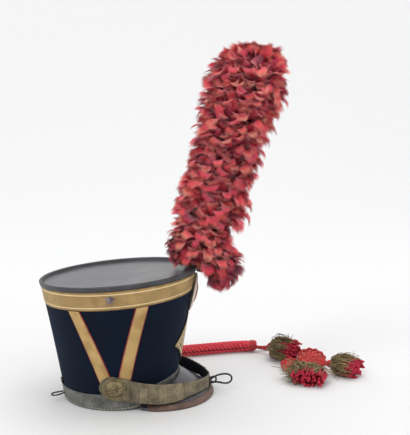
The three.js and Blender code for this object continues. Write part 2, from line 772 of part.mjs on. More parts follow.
function plumeLock(share, turn, length, droop) {
  const { x, z, radius } = plumeAt(share);
  const outward = vector(Math.cos(turn), Math.sin(turn), 0);
  const sideways = vector(-Math.sin(turn), Math.cos(turn), 0);
  const stations = [
    { along: 0, out: 0.72, wide: 0.8, thick: 0.9 },
    { along: 0.6, out: 0.92, wide: 1, thick: 1 },
    { along: 1, out: 1.0, wide: 0.3, thick: 0.4 },
  ];
  return loftSolid(stations.map(({ along, out, wide, thick }) => {
    const middle = vector(x, 0, z + length * along - droop * along * along);
    middle.addScaledVector(outward, out * radius);
    const half = (wide * lockWidth) / 2;
    const deep = (thick * lockWall) / 2;
    return [
      middle.clone().addScaledVector(sideways, half),
      middle.clone().addScaledVector(outward, deep),
      middle.clone().addScaledVector(sideways, -half),
      middle.clone().addScaledVector(outward, -deep),
    ];
  }));
}

function plumeTail(turnDegrees, out, length) {
  const turn = THREE.MathUtils.degToRad(turnDegrees);
  const outward = vector(Math.cos(turn), Math.sin(turn), 0);
  const sideways = vector(-Math.sin(turn), Math.cos(turn), 0);
  const start = 0.06 * plumeHeight;
  const stations = [
    { along: 0, out: 0.8, wide: 0.9 },
    { along: 0.6, out: 1, wide: 1 },
    { along: 1, out: 0.86, wide: 0.25 },
  ];
  return loftSolid(stations.map((station) => {
    const middle = vector(0, 0, start - length * station.along).addScaledVector(outward, out * station.out);
    const half = (station.wide * lockWidth) / 2;
    const deep = (station.wide * lockWall) / 2;
    return [
      middle.clone().addScaledVector(sideways, half),
      middle.clone().addScaledVector(outward, deep),
      middle.clone().addScaledVector(sideways, -half),
      middle.clone().addScaledVector(outward, -deep),
    ];
  }));
}

function plume() {
  const locks = [];
  for (let row = 0; row < plumeRows; row += 1) {
    for (let i = 0; i < plumeLocksInRow; i += 1) {
      const turn = (2 * Math.PI * (i + (row % 2) / 2)) / plumeLocksInRow;
      const vary = Math.sin(12.9 * row + 7.7 * i);
      const share = (row + 0.5) / plumeRows - 0.04 + 0.015 * vary;
      const down = row === 0;
      const reach = down ? -0.6 * lockLength * (0.55 + 0.45 * Math.cos(turn)) : lockLength * (0.9 + 0.12 * vary);
      locks.push(plumeLock(Math.max(share, 0.03), turn, reach, down ? 0 : lockDroop));
    }
  }
  plumeTails.forEach(({ turn, out, length }) => locks.push(plumeTail(turn, out, length)));
  return fuse([plumeCore(), ...locks]);
}

// Table frame, for what lies beside the hat
function cordTube() {
  return tube(cordRoute.map(([x, y, z]) => vector(x, y, z)), cordWidth / 2, cordSides, cordSteps);
}

function cordHook() {
  const basis = crownBasis(cordHookAngle, cordHookShare, laceOutside + seatGap);
  const plate = new THREE.CylinderGeometry(6, 6, 1.4, 10).rotateX(Math.PI / 2).translate(0, 0, 0.7);
  const wire = tube([
    vector(0, 0, 0.6), vector(0, 0.6, 0.35 * cordHookReach), vector(0, -1.2, 0.72 * cordHookReach),
    vector(0, -1.6, cordHookReach), vector(0, 2.6, 1.16 * cordHookReach),
  ], wireRadius, 6, 9);
  return fuse([plate, wire]).applyMatrix4(basis);
}

function braidKnot() {
  const [end, before] = [cordRoute.at(-1), cordRoute.at(-2)].map(([x, y, z]) => vector(x, y, z));
  const along = end.clone().sub(before).normalize();
  const r = knotRadius;
  const profile = [
    [0, 0], [0.6 * r, 0], [0.92 * r, 0.2 * knotLength], [r, 0.5 * knotLength],
    [0.85 * r, 0.82 * knotLength], [0.5 * r, knotLength], [0, knotLength],
  ];
  const lathe = new THREE.LatheGeometry(profile.map(([x, y]) => new THREE.Vector2(x, y)), 14);
  const turn = new THREE.Quaternion().setFromUnitVectors(vector(0, 1, 0), along);
  lathe.applyQuaternion(turn);
  const lift = r - end.z + 0.1;
  return lathe.translate(end.x + seatGap * along.x, end.y + seatGap * along.y, end.z + lift);
}

function tassel({ from, to, wide, high }) {
  const head = vector(...from);
  const end = vector(...to);
  const along = end.clone().sub(head).normalize();
  const aside = along.clone().cross(vector(0, 0, 1)).normalize();
  const over = aside.clone().cross(along);
  const length = end.distanceTo(head);
  const ball = new THREE.IcosahedronGeometry(tasselHeadRadius, 1).translate(head.x, head.y, head.z);
  ball.deleteAttribute('uv');
  const rings = [[0.02, 0.45], [0.35, 0.9], [0.9, 0.95]];
  const core = loftSolid(rings.map(([part, swell]) => Array.from({ length: 8 }, (_, i) => {
    const turn = (2 * Math.PI * i) / 8;
    const middle = head.clone().addScaledVector(along, part * length);
    middle.addScaledVector(aside, swell * wide * Math.cos(turn));
    return middle.addScaledVector(over, swell * high * Math.sin(turn));
  })));
  const locks = Array.from({ length: tasselLocks }, (_, i) => {
    const turn = (2 * Math.PI * (i + 0.5)) / tasselLocks;
    const vary = 0.06 * Math.sin(5.3 * i + 2 * wide);
    const out = aside.clone().multiplyScalar(wide * Math.cos(turn)).addScaledVector(over, high * Math.sin(turn));
    const stations = [[0.08, 0.5, 0.5], [0.5, 0.97, 1], [1 + vary, 1.0, 0.85]];
    return loftSolid(stations.map(([part, swell, thick]) => Array.from({ length: 6 }, (_unused, k) => {
      const spin = (Math.PI * k) / 3;
      const half = (thick * bullionWidth) / 2;
      const middle = head.clone().addScaledVector(along, part * length);
      middle.addScaledVector(out, swell);
      middle.addScaledVector(aside, half * Math.cos(spin));
      return middle.addScaledVector(over, half * Math.sin(spin));
    })));
  });
  return fuse([ball, core, ...locks]);
}

function flatKnot({ middle, radius, lean, stub }) {
  const half = flatKnotWall / 2;
  const profile = [
    [0, -half], [0.88 * radius, -half], [radius, 0], [0.88 * radius, half], [0, half],
  ];
  const disc = new THREE.LatheGeometry(profile.map(([x, y]) => new THREE.Vector2(x, y)), 18);
  disc.rotateX(Math.PI / 2).rotateX(THREE.MathUtils.degToRad(lean)).translate(...middle);
  const centre = vector(...middle);
  const start = centre.clone().lerp(vector(...stub), 0.7);
  start.z = centre.z + (start.y - centre.y) * Math.tan(THREE.MathUtils.degToRad(lean));
  const link = tube([start, start.clone().lerp(vector(...stub), 0.5), vector(...stub)], thinCordWidth / 2, 8, 4);
  return fuse([disc, link]);
}

// Everything fixed to the crown, in its own tilted frame
const hat = new THREE.Group();
hat.rotation.y = -restTilt;
hat.position.z = restLift;
hat.add(named('crown_shell', crownShell(), felt));
hat.add(named('crown_top', crownTop(), patent));
hat.add(named('top_lace', topLace(), lace));
hat.add(named('lower_band', lowerBand(), bandLeather));
hat.add(named('peak', peak(), patent));
hat.add(named('peak_binding', peakBinding(), brownLeather));
for (const [label, side] of [['right', -1], ['left', 1]]) {
  const starBasis = crownBasis(side * sideAngle, starShare, laceOutside + seatGap);
  hat.add(named(`star_${label}`, star().applyMatrix4(starBasis), silver));
  for (const leg of chevronLegs) {
    const backing = chevronStrip(leg, side, chevronBackingWidth, skinGap, chevronBackingOutside);
    const strip = chevronStrip(leg, side, chevronWidth, chevronInside, chevronOutside);
    hat.add(named(`chevron_backing_${leg.name}_${label}`, backing, redCloth));
    hat.add(named(`chevron_${leg.name}_${label}`, strip, lace));
  }
  hat.add(named(`chin_lining_${label}`, chinLining(side), darkLining));
  hat.add(named(`chin_scales_${label}`, chinScales(side), oldBrass));
  const bossBasis = crownBasis(side * bossAngle, bossShare, bossStand);
  hat.add(named(`boss_${label}`, boss().applyMatrix4(bossBasis), oldBrass));
}
hat.add(named('strap_hook', strapHook(), wireSteel));
hat.add(named('strap_eye', strapEye(), wireSteel));
hat.add(named('rear_loop', rearLoop(), wireSteel));
hat.add(named('rear_buckle', rearBuckle(), wireSteel));
hat.add(named('plate_backing', frontLozenge(plateBackingBorder, skinGap, skinGap + plateBackingWall), darkLining));
hat.add(named('front_plate', frontLozenge(0, plateInside, plateInside + plateWall), paleBrass));
hat.add(named('cockade', cockade(), cockadeLeather));
hat.add(named('plume_socket', plumeSocket(), darkLining));
hat.add(named('plume_stem', plumeStem(), cockadeLeather));
hat.add(named('cord_hook', cordHook(), oldBrass));
hat.updateMatrixWorld(true);

// The plume stands upright on its leaning stem
const plumeMesh = named('plume', plume(), feather);
plumeMesh.position.copy(vector(0, stemLength + 2 * seatGap, 0).applyMatrix4(socketBasis));
plumeMesh.position.applyMatrix4(hat.matrixWorld);

// The cord and what is on it, on the table
const cords = new THREE.Group();
cords.add(named('shako_braid', cordTube(), braidRed));
cords.add(named('braid_knot', braidKnot(), braidRed));
for (const [name, route] of Object.entries(thinCordRoutes)) {
  const points = route.map(([x, y, z]) => vector(x, y, z));
  cords.add(named(name, tube(points, thinCordWidth / 2, 8, 2 * route.length - 2), braidRed));
}
for (const item of tassels) {
  cords.add(named(item.name, tassel(item), bullionRed));
}
for (const item of flatKnots) {
  cords.add(named(item.name, flatKnot(item), braidRed));
}

// The origin is under the middle of the hat and its plume, on the table
const standing = new THREE.Group();
standing.add(hat);
standing.add(plumeMesh);
const bounds = new THREE.Box3().setFromObject(standing, true);
const middle = bounds.getCenter(new THREE.Vector3());
const group = new THREE.Group();
group.add(standing);
group.add(cords);
group.position.set(-middle.x, -middle.y, -bounds.min.z);

export default group;
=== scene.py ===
import math
import random
import bmesh
import bpy
from mathutils import Matrix, Quaternion, Vector


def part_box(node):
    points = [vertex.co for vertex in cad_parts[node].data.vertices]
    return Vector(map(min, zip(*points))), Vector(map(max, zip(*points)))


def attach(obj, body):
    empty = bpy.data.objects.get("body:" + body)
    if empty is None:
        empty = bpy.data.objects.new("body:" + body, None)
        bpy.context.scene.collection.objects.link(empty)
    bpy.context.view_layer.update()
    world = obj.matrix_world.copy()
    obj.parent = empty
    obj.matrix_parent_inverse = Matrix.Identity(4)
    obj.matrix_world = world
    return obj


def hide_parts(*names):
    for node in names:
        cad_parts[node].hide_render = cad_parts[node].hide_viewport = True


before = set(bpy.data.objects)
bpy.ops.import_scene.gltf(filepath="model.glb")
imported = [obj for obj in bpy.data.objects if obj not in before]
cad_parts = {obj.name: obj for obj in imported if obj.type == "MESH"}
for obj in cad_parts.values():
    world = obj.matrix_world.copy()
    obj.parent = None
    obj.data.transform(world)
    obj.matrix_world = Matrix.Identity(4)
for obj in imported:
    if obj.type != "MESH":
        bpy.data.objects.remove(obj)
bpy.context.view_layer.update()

scene = bpy.context.scene

# The camera stands where the photograph was taken from
cameraSettings = {
    "place": Vector((-0.0229, -1.1948, 0.4262)),
    "target": Vector((0.0737, -0.0048, 0.3068)),
    "rollDegrees": 0.19,
    "lens": 57.5,
    "sensor": 36.0,
}


def addCamera(settings):
    data = bpy.data.cameras.new("photo_camera")
    data.sensor_width = settings["sensor"]
    data.lens = settings["lens"]
    holder = bpy.data.objects.new("photo_camera", data)
    look = (settings["target"] - settings["place"]).to_track_quat("-Z", "Y")
    roll = Quaternion((0, 0, 1), math.radians(settings["rollDegrees"]))
    holder.rotation_euler = (look @ roll).to_euler()
    holder.location = settings["place"]
    scene.collection.objects.link(holder)
    scene.camera = holder


addCamera(cameraSettings)
print("camera set")

# The cords' route points are millimetres from the centre of the crown's lower edge
routeShift = Vector((-73.29, -4.78, 0.29))
braidSettings = {
    "width": 23.0,
    "halfSize": 12.0,
    "strandRadius": 3.2,
    "pitch": 8.5,
    "slant": 22.0,
    "groove": 0.42,
    "coreRadius": 7.6,
    "route": [
        (-33, 144, 185.2), (-33, 145, 156), (-33, 146, 126), (-32, 148, 100), (-28, 151, 73),
        (-18, 156, 47), (-1, 163, 26), (23, 172, 14.5), (50, 181, 12.2), (79, 189, 12.2), (108, 196, 12.2),
        (138, 203, 12.2), (168, 210, 12.2), (198, 217, 12.2), (228, 223, 12.2), (256, 225, 12.2),
    ],
}
thinCordSettings = {
    "width": 6.0,
    "strandRadius": 1.9,
    "ringRadius": 1.7,
    "pitch": 11.0,
    "routes": {
        "cord_to_tassel": [(274.6, 221.2, 11.2), (283, 216, 11.5), (290, 210, 13.5), (295.7, 202.7, 16.5)],
        "cord_to_flat_knot": [
            (274.4, 227.6, 8.2), (300, 230, 3.3), (330, 226, 3.3), (358, 210, 3.3), (379, 186, 3.3),
            (384, 164, 5.5), (379, 144, 16.8),
        ],
    },
}


def inMetres(point):
    return (Vector(point) + routeShift) / 1000


def smoothPath(points, step):
    # Catmull-Rom path through the points, cut into even steps
    rows = [2 * points[0] - points[1], *points, 2 * points[-1] - points[-2]]
    fine = []
    for i in range(1, len(rows) - 2):
        a, b, c, d = rows[i - 1 : i + 3]
        square, cube = 2 * a - 5 * b + 4 * c - d, 3 * b - a - 3 * c + d
        for k in range(12):
            t = k / 12
            fine.append(0.5 * (2 * b + (c - a) * t + square * t * t + cube * t**3))
    fine.append(points[-1].copy())
    lengths = [0.0]
    for p, q in zip(fine, fine[1:]):
        lengths.append(lengths[-1] + (q - p).length)
    count = max(2, round(lengths[-1] / step))
    even, k = [], 0
    for i in range(count + 1):
        wanted = lengths[-1] * i / count
        while k < len(fine) - 2 and lengths[k + 1] < wanted:
            k += 1
        span = lengths[k + 1] - lengths[k]
        even.append(fine[k].lerp(fine[k + 1], (wanted - lengths[k]) / span if span else 0))
    return even


def pathLength(points):
    return sum((q - p).length for p, q in zip(points, points[1:]))


def mean(points):
    return sum(points, Vector()) / len(points)


def onCircle(spin, side, top):
    # Direction at a turn from side towards top
    return math.cos(spin) * side + math.sin(spin) * top


def pathFrames(points, side=None):
    # Side and top directions carried along a path without twist
    frames = []
    along = (points[1] - points[0]).normalized()
    side = side or along.orthogonal().normalized()
    for i, point in enumerate(points):
        ahead = points[min(i + 1, len(points) - 1)]
        behind = points[max(i - 1, 0)]
        along = (ahead - behind).normalized()
        side = (side - along * side.dot(along)).normalized()
        frames.append((point, side, along.cross(side)))
    return frames


class MeshParts:
    # Vertices, faces, tones and a run map of many swept pieces that become one object

    def __init__(self):
        self.points, self.faces, self.runs, self.tones, self.slots = [], [], [], [], []

    def sweep(self, points, radius, sides, tone=0.5, slot=0, taper=None):
        first = len(self.points)
        travelled = 0.0
        alongs = []
        for i, (point, side, top) in enumerate(pathFrames(points)):
            if i:
                travelled += (points[i] - points[i - 1]).length
            alongs.append(travelled * 1000)
            here = radius * (taper(i / (len(points) - 1)) if taper else 1)
            for k in range(sides):
                self.points.append(point + here * onCircle(2 * math.pi * k / sides, side, top))
                self.tones.append(tone)
        for i in range(len(points) - 1):
            for k in range(sides):
                n = (k + 1) % sides
                a, b = first + i * sides, first + (i + 1) * sides
                self.faces.append((a + k, a + n, b + n, b + k))
                u, w = k / sides, (k + 1) / sides
                self.runs.append(((alongs[i], u), (alongs[i], w), (alongs[i + 1], w), (alongs[i + 1], u)))
                self.slots.append(slot)
        last = first + (len(points) - 1) * sides
        for ring, start in ((list(range(sides))[::-1], first), (list(range(sides)), last)):
            self.faces.append(tuple(start + k for k in ring))
            self.runs.append(tuple((0, 0) for _ in ring))
            self.slots.append(slot)

    def grid(self, rows, tones, slot=0):
        first = len(self.points)
        wide = len(rows[0])
        for row, tone in zip(rows, tones):
            self.points.extend(row)
            self.tones.extend([tone] * wide)
        for i in range(len(rows) - 1):
            u0, u1 = i / (len(rows) - 1), (i + 1) / (len(rows) - 1)
            for k in range(wide - 1):
                v0, v1 = k / (wide - 1), (k + 1) / (wide - 1)
                a = first + i * wide + k
                self.faces.append((a, a + 1, a + wide + 1, a + wide))
                self.runs.append(((u0, v0), (u0, v1), (u1, v1), (u1, v0)))
                self.slots.append(slot)

    def build(self, name, materials):
        mesh = bpy.data.meshes.new(name)
        mesh.from_pydata(self.points, [], self.faces)
        run = mesh.uv_layers.new(name="run")
        run.data.foreach_set("uv", [value for face in self.runs for corner in face for value in corner])
        tone = mesh.attributes.new("tone", "FLOAT", "POINT")
        tone.data.foreach_set("value", self.tones)
        for item in materials:
            mesh.materials.append(item)
        mesh.polygons.foreach_set("material_index", self.slots)
        work = bmesh.new()
        work.from_mesh(mesh)
        bmesh.ops.recalc_face_normals(work, faces=work.faces)
        work.to_mesh(mesh)
        work.free()
        mesh.shade_smooth()
        return place(name, mesh)


def place(name, mesh):
    made = bpy.data.objects.new(name, mesh)
    scene.collection.objects.link(made)
    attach(made, "root")
    return made


# Shader helpers: one call adds a node and joins or fills its inputs
def addNode(tree, kind, inputs=None, **facts):
    node = tree.nodes.new(kind)
    for key, value in facts.items():
        setattr(node, key, value)
    for key, value in (inputs or {}).items():
        if isinstance(value, bpy.types.NodeSocket):
            tree.links.new(value, node.inputs[key])
        else:
            node.inputs[key].default_value = value
    return node


def calc(tree, operation, a, b=0.0, c=0.0):
    return addNode(tree, "ShaderNodeMath", {0: a, 1: b, 2: c}, operation=operation).outputs[0]


def mixed(tree, amount, a, b):
    return addNode(tree, "ShaderNodeMix", {0: amount, 6: a, 7: b}, data_type="RGBA").outputs[2]


def objectSpot(tree):
    return addNode(tree, "ShaderNodeTexCoord").outputs["Object"]


def ranged(tree, value, low, high):
    # 0 at low, 1 at high
    inputs = {"Value": value, "From Min": low, "From Max": high}
    return addNode(tree, "ShaderNodeMapRange", inputs).outputs[0]


def noise(tree, spot, scale, detail, rough=0.5):
    inputs = {"Vector": spot, "Scale": scale, "Detail": detail, "Roughness": rough}
    return addNode(tree, "ShaderNodeTexNoise", inputs).outputs[0]


def cells(tree, scale, feature="F1"):
    # Distance in a pattern of cells over the piece
    inputs = {"Vector": objectSpot(tree), "Scale": scale}
    return addNode(tree, "ShaderNodeTexVoronoi", inputs, feature=feature).outputs["Distance"]


def colour(text):
    parts = [int(text[i : i + 2], 16) / 255 for i in (0, 2, 4)]
    return (*[p / 12.92 if p <= 0.04045 else ((p + 0.055) / 1.055) ** 2.4 for p in parts], 1.0)


def newGroup(name, inputs, outputs):
    group = bpy.data.node_groups.new(name, "ShaderNodeTree")
    for label, kind, value in inputs:
        socket = group.interface.new_socket(label, in_out="INPUT", socket_type=kind)
        socket.default_value = value
    for label, kind in outputs:
        group.interface.new_socket(label, in_out="OUTPUT", socket_type=kind)
    return group, group.nodes.new("NodeGroupInput").outputs, group.nodes.new("NodeGroupOutput").inputs


floatKind, colourKind = "NodeSocketFloat", "NodeSocketColor"


def wornGroup():
    # Patches between a dark and a light colour, with grain as height
    group, given, out = newGroup(
        "worn_surface",
        [
            ("Dark", colourKind, (0.1, 0.1, 0.1, 1)), ("Light", colourKind, (0.5, 0.5, 0.5, 1)),
            ("Patch Scale", floatKind, 20.0), ("Grain Scale", floatKind, 600.0),
            ("Smooth", floatKind, 0.3), ("Rough", floatKind, 0.7),
        ],
        [("Color", colourKind), ("Roughness", floatKind), ("Height", floatKind)],
    )
    spot = objectSpot(group)
    patch = noise(group, spot, given["Patch Scale"], 6.0, 0.6)
    grain = noise(group, spot, given["Grain Scale"], 3.0)
    spread = ranged(group, patch, 0.32, 0.68)
    blend = calc(group, "MULTIPLY_ADD", grain, 0.5, calc(group, "MULTIPLY_ADD", spread, 0.8, -0.18))
    group.links.new(mixed(group, blend, given["Dark"], given["Light"]), out["Color"])
    rough = addNode(
        group, "ShaderNodeMapRange", {"Value": spread, "To Min": given["Smooth"], "To Max": given["Rough"]}
    ).outputs[0]
    group.links.new(rough, out["Roughness"])
    height = calc(group, "MULTIPLY_ADD", patch, 0.35, calc(group, "MULTIPLY", grain, 0.65))
    group.links.new(height, out["Height"])
    return group


def laidGroup():
    # A tint and a rise laid over a colour and a height, where the amount is 1
    group, given, out = newGroup(
        "laid_over",
        [
            ("Amount", floatKind, 0.0), ("Below", colourKind, (0.5, 0.5, 0.5, 1)),
            ("Tint", colourKind, (1, 1, 1, 1)), ("Grain", floatKind, 0.0), ("Rise", floatKind, 1.0),
        ],
        [("Color", colourKind), ("Height", floatKind)],
    )
    group.links.new(mixed(group, given["Amount"], given["Below"], given["Tint"]), out["Color"])
    raised = calc(group, "MULTIPLY_ADD", given["Amount"], given["Rise"], given["Grain"])
    group.links.new(raised, out["Height"])
    return group


def twistGroup():
    # Groove between the plies of a cord, by the millimetres along it and the share round it
    group, given, out = newGroup(
        "cord_twist",
        [
            ("Along", floatKind, 0.0), ("Around", floatKind, 0.0),
            ("Pitch", floatKind, 5.0), ("Turns", floatKind, 2.0),
        ],
        [("Groove", floatKind)],
    )
    winds = calc(group, "DIVIDE", given["Along"], given["Pitch"])
    turned = calc(group, "MULTIPLY_ADD", given["Around"], given["Turns"], winds)
    ridge = calc(group, "SINE", calc(group, "MULTIPLY", turned, 2 * math.pi))
    hollow = calc(group, "MULTIPLY_ADD", ridge, -0.5, 0.5)
    group.links.new(calc(group, "POWER", hollow, 2.0), out["Groove"])
    return group


def laceGroup():
    # Small diamonds inside a zigzag border, with a bright line beside it and a dark rim
    labels = ("Along", "Across", "Width", "Small", "Reach")
    group, given, out = newGroup(
        "lace_weave",
        [(label, floatKind, 1.0) for label in labels],
        [("Marks", floatKind), ("Bright", floatKind), ("Rim", floatKind)],
    )
    along, across, width, small, reach = (given[label] for label in labels)

    def wave(sign):
        slant = calc(group, "DIVIDE", calc(group, "MULTIPLY_ADD", across, sign, along), small)
        return calc(group, "ABSOLUTE", calc(group, "SINE", calc(group, "MULTIPLY", slant, math.pi)))

    line = calc(group, "LESS_THAN", calc(group, "MINIMUM", wave(1.0), wave(-1.0)), 0.34)
    edge = calc(group, "ABSOLUTE", calc(group, "SUBTRACT", across, calc(group, "MULTIPLY", width, 0.5)))
    past = calc(group, "SUBTRACT", calc(group, "DIVIDE", edge, width), reach)
    inBorder = calc(group, "GREATER_THAN", past, 0.0)
    body = calc(group, "MULTIPLY", line, calc(group, "SUBTRACT", 1.0, inBorder))
    zigzag = calc(group, "PINGPONG", calc(group, "ADD", along, edge), calc(group, "MULTIPLY", small, 0.45))
    teeth = calc(group, "LESS_THAN", zigzag, calc(group, "MULTIPLY", small, 0.2))
    border = calc(group, "MULTIPLY", calc(group, "MULTIPLY", teeth, inBorder), 0.6)
    group.links.new(calc(group, "MULTIPLY_ADD", body, 0.75, border), out["Marks"])
    group.links.new(calc(group, "COMPARE", past, -0.025, 0.022), out["Bright"])
    group.links.new(calc(group, "GREATER_THAN", past, 0.095), out["Rim"])
    return group


wornSurface, laidOver, cordTwist, laceWeave = wornGroup(), laidGroup(), twistGroup(), laceGroup()


def newMaterial(name):
    made = bpy.data.materials.new(name)
    made.use_nodes = True
    return made, made.node_tree, made.node_tree.nodes["Principled BSDF"]


def wornMaterial(name, dark, light, patch, grain, smooth, rough, bump, depth=0.0004, **shaderFacts):
    # A Principled material over the worn surface; returns it with its tree, shader and bump node
    made, tree, shader = newMaterial(name)
    inputs = {"Dark": colour(dark), "Light": colour(light), "Patch Scale": patch, "Grain Scale": grain}
    inputs.update({"Smooth": smooth, "Rough": rough})
    worn = addNode(tree, "ShaderNodeGroup", inputs, node_tree=wornSurface)
    for key, value in shaderFacts.items():
        shader.inputs[key.replace("_", " ")].default_value = value
    tree.links.new(worn.outputs["Color"], shader.inputs["Base Color"])
    tree.links.new(worn.outputs["Roughness"], shader.inputs["Roughness"])
    height = addNode(
        tree, "ShaderNodeBump", {"Strength": bump, "Distance": depth, "Height": worn.outputs["Height"]}
    )
    tree.links.new(height.outputs[0], shader.inputs["Normal"])
    return made, tree, shader, height


def runMap(tree):
    # The two directions of a piece's own run map
    run = addNode(tree, "ShaderNodeUVMap", uv_map="run").outputs[0]
    split = addNode(tree, "ShaderNodeSeparateXYZ", {0: run})
    return split.outputs[0], split.outputs[1]


def overlay(tree, shader, height, amount, tint, rise):
    # Lays a tint and a height over what feeds the shader, where amount is 1
    base, grain = shader.inputs["Base Color"], height.inputs["Height"]
    inputs = {"Amount": amount, "Below": base.links[0].from_socket, "Tint": tint}
    inputs.update({"Grain": grain.links[0].from_socket, "Rise": rise})
    laid = addNode(tree, "ShaderNodeGroup", inputs, node_tree=laidOver).outputs
    tree.links.new(laid["Color"], base)
    tree.links.new(laid["Height"], grain)


def twistedMaterial(name, dark, light, pitch, turns=2.0, rise=1.6, specks=0.0):
    # Cord whose plies wind round it, read from the run map
    made, tree, shader, height = wornMaterial(
        name, dark, light, patch=60, grain=2600, smooth=0.7, rough=0.95, bump=0.6, depth=0.0009
    )
    along, around = runMap(tree)
    tone = addNode(tree, "ShaderNodeAttribute", attribute_name="tone").outputs["Fac"]
    overlay(tree, shader, height, calc(tree, "MULTIPLY_ADD", tone, 0.9, -0.45), colour(light), 0.0)
    inputs = {"Along": along, "Around": around, "Pitch": pitch, "Turns": turns}
    groove = addNode(tree, "ShaderNodeGroup", inputs, node_tree=cordTwist).outputs["Groove"]
    # The grooves between the plies are a dip in height, and their colour, under half the dark one, is
    # painted shade
    deep = tuple(c * 0.45 for c in colour(dark)[:3]) + (1.0,)
    overlay(tree, shader, height, calc(tree, "MULTIPLY", groove, 0.8), deep, -rise)
    if specks:
        dots = calc(tree, "LESS_THAN", cells(tree, 330.0), specks)
        overlay(tree, shader, height, dots, colour("ecc78f"), 0.3)
    return made


def laceMaterial(name, width, small, dark="886837", light="ccad74", reach=0.38):
    # Gold lace on a run map in millimetres; reach is the share of the width from the middle
    # to the border, and a large one leaves the border off
    made, tree, shader, height = wornMaterial(
        name, dark, light, patch=45, grain=1800, smooth=0.4, rough=0.7, bump=0.5, depth=0.0007, Metallic=0.2
    )
    along, across = runMap(tree)
    inputs = {"Along": along, "Across": across, "Width": width, "Small": small, "Reach": reach}
    weave = addNode(tree, "ShaderNodeGroup", inputs, node_tree=laceWeave).outputs
    overlay(tree, shader, height, weave["Marks"], colour("7c5c31"), -1.2)
    overlay(tree, shader, height, calc(tree, "MULTIPLY", weave["Bright"], 0.85), colour("fae6b4"), 1.0)
    overlay(tree, shader, height, calc(tree, "MULTIPLY", weave["Rim"], 0.6), colour("6a5130"), -0.5)
    return made


def feltMaterial():
    made, tree, shader, height = wornMaterial(
        "felt", "030a14", "09172a", patch=9, grain=1600, smooth=0.85, rough=1.0, bump=0.5, depth=0.0006,
        Sheen_Weight=0.08, Sheen_Roughness=0.6, Specular_IOR_Level=0.12,
    )
    shader.inputs["Sheen Tint"].default_value = colour("7f8fb4")
    lint = calc(tree, "LESS_THAN", cells(tree, 260.0), 0.05)
    overlay(tree, shader, height, lint, colour("2b3447"), 0.8)
    return made


# Stitches and a crease above the band's lower edge, in millimetres
stitchSettings = {
    "pitch": 6.0, "length": 3.6, "row": 2.6, "halfRow": 0.5, "crease": 4.4, "halfCrease": 0.35,
}


def stitchedLeather(settings):
    made, tree, shader, height = wornMaterial(
        "band_leather", "3b3b37", "80807a", patch=70, grain=520, smooth=0.45, rough=0.75,
        bump=0.6, depth=0.0008,
    )
    along, across = runMap(tree)
    dash = calc(tree, "LESS_THAN", calc(tree, "MODULO", along, settings["pitch"]), settings["length"])
    row = calc(tree, "COMPARE", across, settings["row"], settings["halfRow"])
    stitch = calc(tree, "MULTIPLY", dash, row)
    overlay(tree, shader, height, stitch, colour("d0cab6"), 1.6)
    # The crease is a groove in the bump, and its near-black colour is painted shade
    crease = calc(tree, "COMPARE", across, settings["crease"], settings["halfCrease"])
    overlay(tree, shader, height, calc(tree, "MULTIPLY", crease, 0.7), colour("1c1c1a"), -2.0)
    split = calc(tree, "LESS_THAN", cells(tree, 240.0, "DISTANCE_TO_EDGE"), 0.05)
    overlay(tree, shader, height, calc(tree, "MULTIPLY", split, 0.35), colour("232320"), -0.8)
    return made


# Colours of the feathers, from the deep ones to the sunlit tips
featherTones = [
    (0.0, "2a0518"), (0.22, "84102f"), (0.42, "c01f42"),
    (0.63, "dc3a4a"), (0.82, "e05e52"), (1.0, "e2907a"),
]


def featherMaterial(stops):
    # Barbed vane: tone gives its colour, and its edge breaks up into single barbs
    made, tree, shader = newMaterial("feather")
    tone = addNode(tree, "ShaderNodeAttribute", attribute_name="tone").outputs["Fac"]
    along, across = runMap(tree)
    edge = calc(tree, "MULTIPLY", calc(tree, "ABSOLUTE", calc(tree, "SUBTRACT", across, 0.5)), 2.0)
    slant = calc(tree, "MULTIPLY_ADD", edge, -0.34, along)
    shift = calc(tree, "MULTIPLY", tone, 7.0)
    spot = addNode(tree, "ShaderNodeCombineXYZ", {0: slant, 1: shift}).outputs[0]
    strand = ranged(tree, noise(tree, spot, 34.0, 2.0), 0.32, 0.68)
    shade = calc(tree, "MULTIPLY_ADD", strand, 0.34, calc(tree, "MULTIPLY_ADD", edge, 0.05, tone))
    ramp = addNode(tree, "ShaderNodeValToRGB", {"Fac": calc(tree, "SUBTRACT", shade, 0.16)})
    while len(ramp.color_ramp.elements) < len(stops):
        ramp.color_ramp.elements.new(0.5)
    for element, (at, code) in zip(ramp.color_ramp.elements, stops):
        element.position = at
        element.color = colour(code)
    tree.links.new(ramp.outputs[0], shader.inputs["Base Color"])
    fringe = ranged(tree, edge, 0.5, 1.02)
    tip = ranged(tree, along, 0.72, 1.02)
    thin = calc(tree, "MULTIPLY", calc(tree, "MAXIMUM", fringe, tip), 0.9)
    tree.links.new(calc(tree, "GREATER_THAN", strand, thin), shader.inputs["Alpha"])
    height = addNode(tree, "ShaderNodeBump", {"Strength": 0.4, "Distance": 0.0008, "Height": strand})
    tree.links.new(height.outputs[0], shader.inputs["Normal"])
    shader.inputs["Roughness"].default_value = 0.7
    shader.inputs["Sheen Weight"].default_value = 0.35
    return made


def cockadeMaterial():
    # Rings of cream, red and dark; the run map holds the share of the radius and the turn
    made, tree, shader, height = wornMaterial(
        "cockade_leather", "c9b19d", "f0e6d8", patch=60, grain=900, smooth=0.4, rough=0.65,
        bump=0.5, depth=0.0008,
    )
    reach, turn = runMap(tree)
    overlay(tree, shader, height, calc(tree, "LESS_THAN", reach, 0.76), colour("8f2733"), 0.4)
    overlay(tree, shader, height, calc(tree, "LESS_THAN", reach, 0.44), colour("10131f"), 0.3)
    # Pleats are grooves in the bump, and the darker colour in their valleys is painted shade
    pleat = calc(tree, "SINE", calc(tree, "MULTIPLY", turn, 2 * math.pi * 44))
    overlay(tree, shader, height, calc(tree, "MULTIPLY_ADD", pleat, 0.12, 0.12), colour("4a3a30"), -2.2)
    return made


